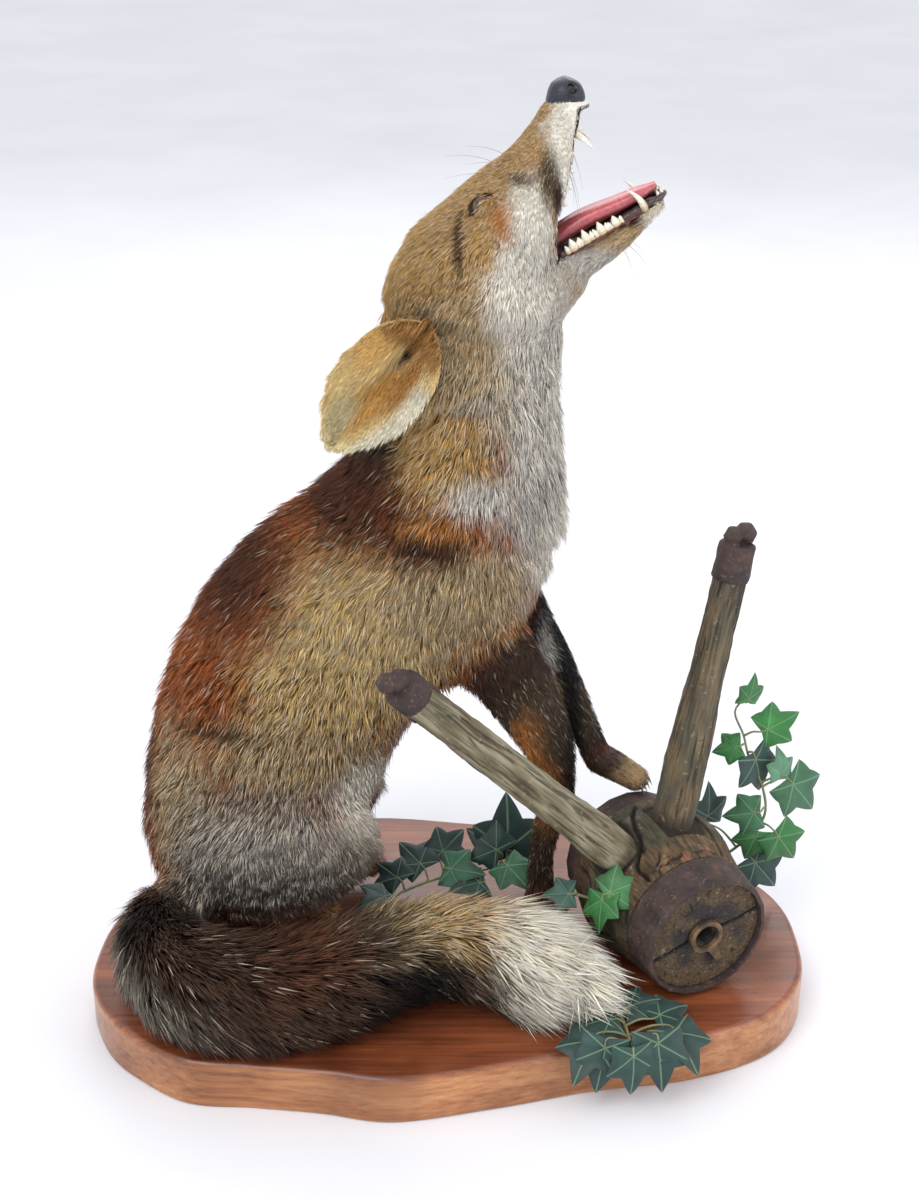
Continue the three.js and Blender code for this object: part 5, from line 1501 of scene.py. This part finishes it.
def locks(label, parts, side, low, high, count, cell):
    """One piece of the coat."""
    pick, mix = sown(parts, side, low, high, count)
    root = blend(spots, pick, mix)
    up = unit(blend(normals, pick, mix))
    way = unit(blend(lie, pick, mix))
    of = blend(traits, pick, mix)
    kind = kinds_at(root, blend(shares, pick, mix))
    heart, token = clumps(root, cell * MM)
    inward = flattened(heart - root, up)
    stray = draw.normal(0, 0.15, count) + 0.20 * wobble(root, 26, 21) + 0.5 * (token - 0.5)
    way = unit(way + np.cross(up, way) * stray[:, None])
    length = of[:, LENGTH] * MM * draw.uniform(0.72, 1.2, count) * (0.86 + 0.28 * token)
    lift = np.radians(of[:, LIFT]) * draw.uniform(0.6, 1.3, count)
    fly = draw.random(count) < FLYAWAY
    lift[fly] *= 1.5
    wide = (0.32 + 0.034 * of[:, LENGTH]) * MM * draw.uniform(0.75, 1.25, count)
    wide[fly] *= 0.6
    tones = lock_tones(kind, root, token, count)
    return grown(label, root - up * 0.6 * MM, up, way, length, lift, wide, inward, tones,
                 unwrapped(label, parts, root))


hair = Finish("fox_hair", 0.6)
hair.shader.inputs["Specular IOR Level"].default_value = 0.2
hair.colour(hair.attribute("own_colour"))

for label, (parts, side, low, high, count, cell) in COAT_PIECES.items():
    piece = locks(label, parts, side, low, high, count, cell)


# the skin has the colours of the hairs' roots and shafts, and is black on the lips and the lids' rims
skin_kinds = kinds_at(spots, shares)
tone = np.einsum("nk,kd->nd", skin_kinds, HAIR_COLOURS[:, 0] * 0.45 + HAIR_COLOURS[:, 1] * 0.55)
in_mouth = mouth_depth(spots)
lip = step(-2.2, -1.2, in_mouth + 5 * near(folded, (67, 14, 521), (12, 12, 16), 0.5))
tone = tinge(tone, (24, 19, 20), lip * (1 - step(0.8, 2.2, in_mouth)))
tone = tinge(tone, (112, 44, 50), step(0.6, 2.0, in_mouth))
for side in (-1, 1):
    gap, height, reach = lid_gap(spots, side)
    tone = tinge(tone, (22, 17, 16), (1 - step(1.4, 2.4 + 0.8 * (height > 0), gap)) * (reach < 16))
add_colours(skin, tone)
hide = Finish("fox_hide", 0.7)
hide.colour(hide.attribute("own_colour"))
hide.bump(hide.noise(900), 0.0005)
skin.data.materials.clear()
skin.data.materials.append(hide.material)
skin.data.polygons.foreach_set("use_smooth", np.full(len(skin.data.polygons), True))
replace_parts(skin, *FLESH)
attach(skin, "root")


# ---- The eyes ----
# Glass eyes, set in clay behind the lids. The iris is amber, darker at its edge, round an upright pupil.

IRIS_HALF = 6.2
IRIS_RAYS = 37
MOTTLE = [(0.3, (205, 205, 205)), (0.7, (255, 255, 255))]


def tinted(name, roughness, scale, bump, **sockets):
    """A finish that takes its colour from the piece's own colours, with fine mottling and relief."""
    finish = Finish(name, roughness, **sockets)
    base = finish.attribute("own_colour")
    grain = finish.noise(scale)
    finish.colour(finish.mixed(1.0, base, finish.ramp(grain, MOTTLE), "MULTIPLY"))
    finish.bump(grain, bump)
    return finish


for side, name in ((-1, "fox_eye_right"), (1, "fox_eye_left")):
    centre, out, run, rise = eye_frame(side)
    bpy.ops.object.select_all(action="DESELECT")
    bpy.ops.mesh.primitive_uv_sphere_add(segments=96, ring_count=64, radius=EYE_RADIUS)
    eye = bpy.context.object
    eye.name = name.replace("eye", "glass_eye")
    spots_eye = places(eye)
    turned = spots_eye[:, :1] * run + spots_eye[:, 1:2] * rise + spots_eye[:, 2:] * out
    span = np.hypot(spots_eye[:, 0], spots_eye[:, 1]) / MM
    front = spots_eye[:, 2] > 0
    cornea = 0.5 * (1 - step(0, IRIS_HALF, span)) * front
    turned += out * (cornea * MM)[:, None]
    move_to(eye, turned + centre)
    if np.dot(np.cross(run, rise), out) < 0:
        eye.data.flip_normals()
    ray = 0.5 + 0.5 * np.sin(np.arctan2(spots_eye[:, 1], spots_eye[:, 0]) * IRIS_RAYS)
    iris = linear((92, 54, 24)) * (0.75 + 0.35 * ray[:, None])
    iris = iris * (1 - 0.75 * step(4.6, IRIS_HALF, span))[:, None]
    tint = np.where((front & (span < IRIS_HALF + 0.4))[:, None], iris, linear((50, 34, 28)))
    pupil = 1 - step(0.8, 1.15, np.hypot(spots_eye[:, 0] / MM, spots_eye[:, 1] / MM * 0.42))
    add_colours(eye, tinge(tint, (6, 5, 5), pupil * front))
    glass = tinted("glass_of_" + name, 0.06, 700, 0.00001, Coat_Weight=1.0, Coat_Roughness=0.02)
    eye.data.materials.append(glass.material)
    bpy.ops.object.shade_smooth()
    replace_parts(eye, name)
    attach(eye, "root")


# ---- The nose ----
# A cast black nose pad, pebbled, with a comma-shaped nostril on each side and a groove down its front.

NOSE_GRAIN = 0.6
PAD_SWELL = 0.7

nose = recast("fox_nose", "nose_pad", NOSE_GRAIN, 14)
pad_up = normals_of(nose)
pad = places(nose) + pad_up * PAD_SWELL * MM
folded_pad = mirrored_side(pad)
nostril = near(folded_pad, (76.2, 25.2, 604.2), (3.0, 4.4, 3.0), 0.35)
comma = near(folded_pad, (74.4, 22.6, 600.2), (1.7, 4.0, 3.4), 0.5)
philtrum = np.exp(-((np.abs(pad[:, 1] - MIDPLANE) / (1.1 * MM)) ** 2)) * step(0.076, 0.079, pad[:, 0])
pad = pad - pad_up * ((2.6 * nostril + 1.3 * comma + 1.1 * philtrum) * MM)[:, None]
move_to(nose, pad)
# The nostrils are near black inside: painted shade in the openings, over the pad's own dark grey.
add_colours(nose, tinge(linear((33, 36, 47)), (8, 8, 10), np.maximum(nostril, 0.8 * comma)))
pebbled = Finish("nose_leather", 0.38, Specular_IOR_Level=0.5)
pebbled.colour(pebbled.attribute("own_colour"))
pebbles = pebbled.node("TexVoronoi")
pebbles.inputs["Scale"].default_value = 1100
pebbled.join(pebbled.place, pebbles.inputs["Vector"])
pebbled.bump(pebbles.outputs["Distance"], 0.0003, 0.5)
nose.data.materials.append(pebbled.material)
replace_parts(nose, "fox_nose")
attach(nose, "root")


# ---- The mouth ----
# Cast gums and tongue, painted pink, with real teeth: long curved canines, three-pointed cheek teeth and
# small incisors, growing from a bow of gum in each jaw.

UPPER_BOW = {
    "start": (67, 34, 533), "forward": (12.5, 0, 62), "out": (0.93, 0, -0.36), "back": 16, "front": 8,
    "length": 54, "cheek": ((0.12, 6.5), (0.30, 7), (0.47, 6), (0.64, 5)), "canine": (0.85, 15),
}
LOWER_BOW = {
    "start": (76, 34, 511), "forward": (54, 0, 30), "out": (-0.48, 0, 0.88), "back": 17, "front": 7.5,
    "length": 59, "cheek": ((0.04, 6), (0.19, 7), (0.36, 6.5), (0.52, 5)), "canine": (0.84, 15),
}
CUSPS = ((0.0, 1.0, 3.1), (-0.06, 0.6, 2.2), (0.055, 0.55, 2.1))  # shift along the bow, height, half width
INCISORS = (0.17, 0.48, 0.8)
SPIKE_TAPER = np.array([1.05, 1.02, 0.90, 0.74, 0.54, 0.31, 0.06])
GUM_MARKS = [-0.12, 0.05, 0.2, 0.35, 0.5, 0.65, 0.8, 0.92, 1.0]
PALATE_ROWS, PALATE_LINE = 26, 13
ENAMEL_TONE, TOOTH_ROOT_TONE = (246, 242, 228), (214, 196, 150)


def bow_place(bow, share, side, rise=0.0):
    """A place on a bow of gum, at a share of its length, on the right (-1), the left (1) or between."""
    half = bow["front"] + (bow["back"] - bow["front"]) * (1 - min(share, 1)) ** 0.8
    return (np.array(bow["start"], dtype=float) + unit(np.array(bow["forward"])) * share * bow["length"]
            + unit(np.array(bow["out"])) * rise + np.array([0, side * half, 0]))


def spike(base, tip, radius, flat, curl, sides=8):
    """A tooth or claw from its base to its tip, bent by curl, flattened across, with its colour along it."""
    base, tip = np.array(base, dtype=float), np.array(tip, dtype=float)
    run = np.linspace(0, 1, len(SPIKE_TAPER))
    curl = np.array(curl, dtype=float)
    line = base + (tip - base) * run[:, None] + curl * (4 * run * (1 - run))[:, None]
    size = radius * SPIKE_TAPER
    return (*swept(line, size * flat, size, (0, 1, 0), sides), np.append(np.repeat(run, sides), (0, 1)))


def toothed(name, bow, node):
    """All the teeth of one jaw."""
    forward, out = unit(np.array(bow["forward"])), unit(np.array(bow["out"]))
    shapes = []
    for side in (-1, 1):
        for share, height in bow["cheek"]:
            for shift, part, wide in CUSPS:
                foot = bow_place(bow, share + shift, side, -1.5)
                peak = bow_place(bow, share + shift * 1.25, side * 1.03, height * part)
                shapes.append(spike(foot, peak, wide, 1.0, out * 0.2))
        share, height = bow["canine"]
        foot = bow_place(bow, share, side, -2)
        peak = bow_place(bow, share - 0.075, side * 1.35, height - 0.4)
        shapes.append(spike(foot, peak, 2.7, 0.85, forward * 1.7, 12))
        for place in INCISORS:
            reach = 1.08 - 0.1 * place**2
            foot = bow_place(bow, reach, side * place, -1)
            peak = bow_place(bow, reach + 0.01, side * place, 4.2)
            shapes.append(spike(foot, peak, 1.35, 1.0, out * 0.1))
    root_tone = linear(TOOTH_ROOT_TONE)
    shapes = [
        (points, faces, tinge(root_tone, ENAMEL_TONE, step(0.1, 0.5, run))) for points, faces, run in shapes
    ]
    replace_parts(built(name, shapes, enamel), node)


def cells_of(rows, line):
    """The four corners of every cell of a sheet of points, in rows of line points each."""
    first = (np.arange(rows - 1)[:, None] * line + np.arange(line - 1)).ravel()
    return first, first + 1, first + line + 1, first + line


def shell_of(rows, line):
    """The triangles of a closed shell: a sheet of points, one behind it and a wall round their rims."""
    a, b, c, d = cells_of(rows, line)
    face = np.concatenate([np.stack([a, b, c], 1), np.stack([a, c, d], 1)])
    count = rows * line
    rim = np.array([*range(line), *range(2 * line - 1, count, line), *range(count - 2, count - line - 1, -1),
                    *range(count - 2 * line, 0, -line)])
    after = np.roll(rim, -1)
    wall = [np.stack([after, rim, rim + count], 1), np.stack([after, rim + count, after + count], 1)]
    return np.concatenate([face, face[:, ::-1] + count, *wall])


def face_outwards(piece):
    only(piece)
    bpy.ops.object.mode_set(mode="EDIT")
    bpy.ops.mesh.select_all(action="SELECT")
    bpy.ops.mesh.normals_make_consistent(inside=False)
    bpy.ops.object.mode_set(mode="OBJECT")


def gum_of(name, bow, tone_high, tone_low):
    """The gum: a soft ridge round the bow, and the floor or palate that it borders."""
    line = [bow_place(bow, share, -1, -0.6) for share in GUM_MARKS]
    line += [bow_place(bow, 1.07, 0.45 * side, -0.6) for side in (-1, 1)]
    line += [bow_place(bow, share, 1, -0.6) for share in reversed(GUM_MARKS)]
    marks = sampled(line, 90)[0] / MM
    bumps = 1.6 + 0.25 * np.sin(np.arange(90) * 1.9)
    ridge = swept(marks, bumps, bumps * 1.25, np.array(bow["out"]), 10)
    tone = np.broadcast_to(linear(tone_high), (len(ridge[0]), 3))
    sheet = []
    for share in np.linspace(-0.16, 1.03, PALATE_ROWS):
        for across in np.linspace(-1, 1, PALATE_LINE):
            sag = -1.8 - 2.4 * (1 - across**2)
            sheet.append(bow_place(bow, share, across, sag + 0.25 * math.sin(share * 60)) * MM)
    sheet = np.array(sheet)
    shell = np.concatenate([sheet, sheet - unit(np.array(bow["out"])) * 1.5 * MM])
    shell_tone = np.broadcast_to(linear(tone_low), shell.shape)
    shapes = [(*ridge, tone), (shell, shell_of(PALATE_ROWS, PALATE_LINE), shell_tone)]
    face_outwards(built(name, shapes, wet_flesh))


enamel = tinted("tooth_enamel", 0.22, 900, 0.00005, Coat_Weight=0.4)
wet_flesh = tinted("wet_flesh", 0.32, 500, 0.0002, Coat_Weight=0.35)
toothed("upper_teeth", UPPER_BOW, "fox_upper_teeth")
toothed("lower_teeth", LOWER_BOW, "fox_lower_teeth")
gum_of("upper_gum", UPPER_BOW, (120, 66, 66), (150, 70, 74))
gum_of("lower_gum", LOWER_BOW, (66, 42, 36), (138, 56, 60))

# The tongue lies on the floor of the mouth, flat-sided, and ends in a rounded lobe behind the incisors.
TONGUE = [
    (60, 34, 510), (66, 34, 513.6), (84, 34, 525.4), (104, 34, 534.6), (116, 34, 540.4), (124, 34, 544.6),
    (127, 34, 546.4),
]
TONGUE_WIDE = [11, 12, 11, 9.4, 8.8, 6.4, 1.6]
TONGUE_DEEP = [4.6, 5.6, 5.6, 4.6, 3.9, 3.0, 0.9]
TONGUE_RINGS = 44
middle_line = sampled(TONGUE, TONGUE_RINGS)[0] / MM
mark_at = np.concatenate([[0], np.cumsum(np.linalg.norm(np.diff(np.array(TONGUE), axis=0), axis=1))])
mark_at /= mark_at[-1]
ring_at = np.linspace(0, 1, TONGUE_RINGS)
half_deep, half_wide = (
    np.convolve(np.pad(np.interp(ring_at, mark_at, marks), 4, mode="edge"), np.full(9, 1 / 9), "valid")
    for marks in (TONGUE_DEEP, TONGUE_WIDE)
)
tongue_points, tongue_faces = swept(middle_line, half_deep, half_wide, (0, 1, 0), 48, 0.8)
off_middle = np.abs(tongue_points[:, 1] - MIDPLANE) / MM
tongue_x, tongue_z = tongue_points[:, 0] / MM, tongue_points[:, 2] / MM
height_on = tongue_z - np.interp(tongue_x, [place[0] for place in TONGUE], [place[2] for place in TONGUE])
furrow = np.exp(-((off_middle / 1.6) ** 2)) * step(0.5, 2.5, height_on) * step(60, 75, tongue_x)
tongue_points[:, 2] -= 1.1 * MM * furrow
# The tongue is darker on its lower sides and towards the throat: painted shade.
tongue_tone = linear((200, 96, 102)) * (0.55 + 0.45 * step(-3.5, 2.0, height_on))[:, None]
tongue_tone *= (0.62 + 0.38 * step(66, 90, tongue_x))[:, None]
tongue = built("tongue", [(tongue_points, tongue_faces, tongue_tone)], wet_flesh)
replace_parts(tongue, "fox_tongue")


# ---- The ears ----
# Thin leather cups with cartilage inside, dark-haired on the back, cream and ochre in the bowl, and pale
# along the rim. The upper side folds over the dark way in.

EAR_ROWS, EAR_LINE = 56, 40
EAR_RUFF = 1100
RUFF_ROWS = 9
EAR_BACK_TONE, EAR_RIM_TONE, EAR_TIP_TONE = (52, 34, 26), (196, 172, 120), (244, 232, 198)
# the hair on each face of an ear: which way it stands, how many hairs, their length (mm) and the share with
# pale tips, and how bright the face's colours are in it
EAR_HAIR = {"bowl": (1, 6200, 6.5, 0.4, 1.0), "back": (-1, 3600, 5.5, 0.08, 0.8)}
EARS = {
    "fox_ear_right": {"base": (-14, -27, 469), "tip": (-67, -31, 404), "open_to": (0.12, -1, 0.3), "fold": 1},
    "fox_ear_left": {"base": (-6, 93, 474), "tip": (-30, 122, 406), "open_to": (0.7, 0.6, 0), "fold": -1},
}


def ear_sheet(base, tip, open_to, fold, layer):
    """The inner (0) or outer (1) face of an ear in rows of points, and their places along and across it."""
    base, tip = np.array(base, dtype=float), np.array(tip, dtype=float)
    length = tip - base
    across = unit(np.cross(length, np.array(open_to, dtype=float)))
    facing = unit(np.cross(across, length))
    u, v = np.meshgrid(np.linspace(-0.10, 1, EAR_ROWS), np.linspace(-1, 1, EAR_LINE), indexing="ij")
    u, v = u.ravel(), v.ravel()
    narrowing = np.sqrt(np.clip(1 - (np.maximum(u - 0.45, 0) / 0.556) ** 2, 0.0004, 1))
    narrowing = narrowing * np.sqrt(np.clip(1 - (np.maximum(0.16 - u, 0) / 0.27) ** 2, 0.02, 1))
    half = 26 * (0.8 + 0.28 * np.sin(3.5 * u)) * narrowing
    half = half + 0.55 * np.sin(u * 34 + 0.6) * (np.abs(v) > 0.9) * (0.3 < u)
    cup = 15 * (1 - v**2) * (1 - 0.55 * u)
    w = v * fold
    # the folded upper side stands over the bowl, and the way in is deepest beside it
    cup = cup - 4.2 * step(0.05, 0.22, w) * (1 - step(0.55, 0.95, w)) * (1 - step(0.35, 0.72, u))
    cup = cup + 6.0 * np.exp(-(((u - 0.10) / 0.13) ** 2) - (((w + 0.06) / 0.16) ** 2))
    cup = cup + 2.2 * np.exp(-(((u - 0.42) / 0.22) ** 2) - (((w + 0.12) / 0.22) ** 2))
    cup = cup + 0.5 * np.sin(w * 9 + u * 5) * (1 - v**2)
    thick = layer * (2.6 * (1 - 0.55 * np.abs(v)) + 3.0 * (1 - step(-0.1, 0.25, u)))
    places_on = base + length * u[:, None] + across * (half * v)[:, None] - facing * (cup + thick)[:, None]
    return places_on * MM, u, w, facing, unit(length)


def ear_tone(u, w):
    """The colours of the bowl."""
    def spot(at_u, at_w, reach_u, reach_w):
        return 1 - step(0.5, 1.3, np.hypot((u - at_u) / reach_u, (w - at_w) / reach_w))

    tone = np.broadcast_to(linear((222, 194, 134)), (len(u), 3))
    for cover, colour in (
        (spot(0.52, -0.12, 0.34, 0.34), (204, 152, 74)), (spot(0.30, -0.45, 0.28, 0.24), (176, 124, 58)),
        (spot(0.80, 0.30, 0.24, 0.44), (190, 176, 136)), (spot(0.12, 0.60, 0.32, 0.40), (220, 176, 104)),
        (step(-0.52, -0.78, w) * step(0.14, 0.30, u), (226, 220, 198)),
        (step(0.80, 0.96, u), (228, 214, 168)),
        # the dark spot near the base, first on the next line, is painted shade in the way in
        (spot(0.10, -0.10, 0.15, 0.16), (34, 20, 16)), (1 - step(-0.10, 0.02, u), (176, 132, 76)),
    ):
        tone = tinge(tone, colour, cover)
    return tone


ear_hide = tinted("ear_leather", 0.7, 800, 0.0003)
for name, ear in EARS.items():
    inner, u, w, facing, along = ear_sheet(**ear, layer=0)
    outer = ear_sheet(**ear, layer=1)[0]
    back_tone = linear(EAR_BACK_TONE) * (1 + 0.8 * (1 - step(0.0, 0.4, u)))[:, None]
    back_tone = tinge(back_tone, EAR_RIM_TONE, step(0.86, 0.97, np.abs(w)))
    tone = ear_tone(u, w)
    shape = (np.concatenate([inner, outer]), shell_of(EAR_ROWS, EAR_LINE), np.concatenate([tone, back_tone]))
    made = built(name.replace("fox_ear", "ear_cup"), [shape], ear_hide)
    face_outwards(made)
    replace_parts(made, name)
    # a ruff of longer hair on the head stands over the ear's root
    root = inner[draw.integers(0, RUFF_ROWS * EAR_LINE, EAR_RUFF)]
    root = root - along * draw.uniform(-2, 5, (EAR_RUFF, 1)) * MM
    root = root - facing * draw.uniform(0.2, 2, (EAR_RUFF, 1)) * MM
    way = unit(along + 0.16 * draw.normal(size=root.shape) + 0.10 * facing)
    up = unit(facing - (way @ facing)[:, None] * way)
    ruff_tone = linear((182, 134, 78)) * draw.uniform(0.5, 1.25, (EAR_RUFF, 1))
    length = draw.uniform(7, 13, EAR_RUFF) * MM
    lift = np.radians(draw.uniform(8, 30, EAR_RUFF))
    # the roots are darker than the shafts: painted shade between the hairs
    tones = np.stack([ruff_tone * 0.5, ruff_tone, ruff_tone * 1.2], axis=1)
    ruff = grown(f"{name}_ruff", root, up, way, length, lift, np.full(EAR_RUFF, 0.42 * MM),
                 np.zeros((EAR_RUFF, 3)), tones, draw.random((EAR_RUFF, 2)) * 0.9)
    # short hair lies from the base to the tip, over the bowl and over the back
    cells = cells_of(EAR_ROWS, EAR_LINE)
    first, second, _, last = cells
    up_in = unit(np.cross(inner[second] - inner[first], inner[last] - inner[first]))
    if (up_in @ facing).mean() < 0:
        up_in = -up_in
    for face_name, (stands, count, long, pale_share, bright) in EAR_HAIR.items():
        sheet, sheet_tone = (inner, tone) if stands > 0 else (outer, back_tone)
        pick = draw.choice(len(first), size=count)
        at = first[pick]
        s, t = np.split(draw.random((count, 2)), 2, axis=1)
        weights = ((1 - s) * (1 - t), s * (1 - t), s * t, (1 - s) * t)
        root = sum(sheet[corner[pick]] * weight for corner, weight in zip(cells, weights))
        up = up_in[pick] * stands
        way = np.broadcast_to(along, root.shape) + 0.12 * draw.normal(size=root.shape)
        if stands > 0:
            way = way + 0.45 * unit(inner[second[pick]] - inner[at]) * w[at][:, None] * ear["fold"]
        way = unit(flattened(way, up))
        shaft = sheet_tone[at] * bright * draw.uniform(0.7, 1.35, (count, 1))
        pale = (draw.random(count) < pale_share)[:, None]
        tip_tone = np.where(pale, shaft * 0.4 + linear(EAR_TIP_TONE) * 0.6, shaft * 1.1)
        length = np.full(count, long * MM) * draw.uniform(0.6, 1.3, count)
        fringe = (stands > 0) & (w[at] > 0.0) & (w[at] < 0.3) & (u[at] < 0.5)
        length = np.where(fringe, length * 2.0, length)
        home = np.stack([u[at] * 0.8 + 0.15, (w[at] + 1) * 0.49], axis=1)
        lift = np.radians(draw.uniform(6, 20, count))
        # the roots are darker than the shafts: painted shade between the hairs
        tones = np.stack([shaft * 0.7, shaft, tip_tone], axis=1)
        ear_hair = grown(f"{name}_{face_name}_hair", root - up * 0.3 * MM, up, way, length, lift,
                         np.full(count, 0.55 * MM), np.zeros((count, 3)), tones, home)


# ---- Claws and whiskers ----
# Horn claws at the toes' ends, and a few stiff dark whiskers on the lips, brows and chin.

CLAWS_AT = (-8.2, -2.75, 2.75, 8.2)  # across the raised paw, one between every two grooves

horn = tinted("claw_horn", 0.35, 700, 0.0001)
claws = []
for place in CLAWS_AT:
    foot = (TOE_START + TOE_RUN * 27 * MM + TOE_SIDE * place * MM) / MM + np.array([0, 0, 1.0])
    claws.append(spike(foot, foot + TOE_RUN * 10 + np.array([0, 0, -6.5]), 1.7, 0.8, (0.6, 0, 1.6)))
claws = [(points, faces, tinge(linear((44, 34, 30)), (128, 110, 92), run)) for points, faces, run in claws]
built("claws", claws, horn)

# where each whisker grows (mm), the way it points, its length and how much it bends back (mm)
WHISKERS = [
    (74, 20, 570, (0.5, -0.7, -0.6), 24, 8), (73, 19, 562, (0.45, -0.7, -0.75), 30, 9),
    (74, 20, 556, (0.45, -0.5, -0.9), 28, 10), (39, 19, 559, (-0.8, -0.4, 0.5), 26, 10),
    (33, 17, 554, (-0.85, -0.45, 0.4), 32, 12), (110, 27, 512, (0.65, -0.5, -0.35), 22, 5),
    (107, 25, 510, (0.5, -0.6, -0.5), 20, 6),
]
WHISKER_TAPER = np.linspace(0.13, 0.03, 9)
strands = []
for x, y, z, aim, length, bend in WHISKERS:
    for side in (-1, 1):
        flip = np.array([1, -side, 1])
        foot = np.array([x, 34 + side * (34 - y), z], dtype=float)
        aim_to = unit(np.array(aim)) * flip
        run = np.linspace(0, 1, len(WHISKER_TAPER))[:, None]
        line = foot + aim_to * length * run + np.array([-0.5, 0, -0.86]) * bend * run**2
        points, faces = swept(line, WHISKER_TAPER, WHISKER_TAPER, (0.3, 0.2, 1), 4)
        strands.append((points, faces, np.broadcast_to(linear((88, 76, 66)), points.shape)))
whisker = tinted("whisker", 0.4, 400, 0.00002)
built("whiskers", strands, whisker)
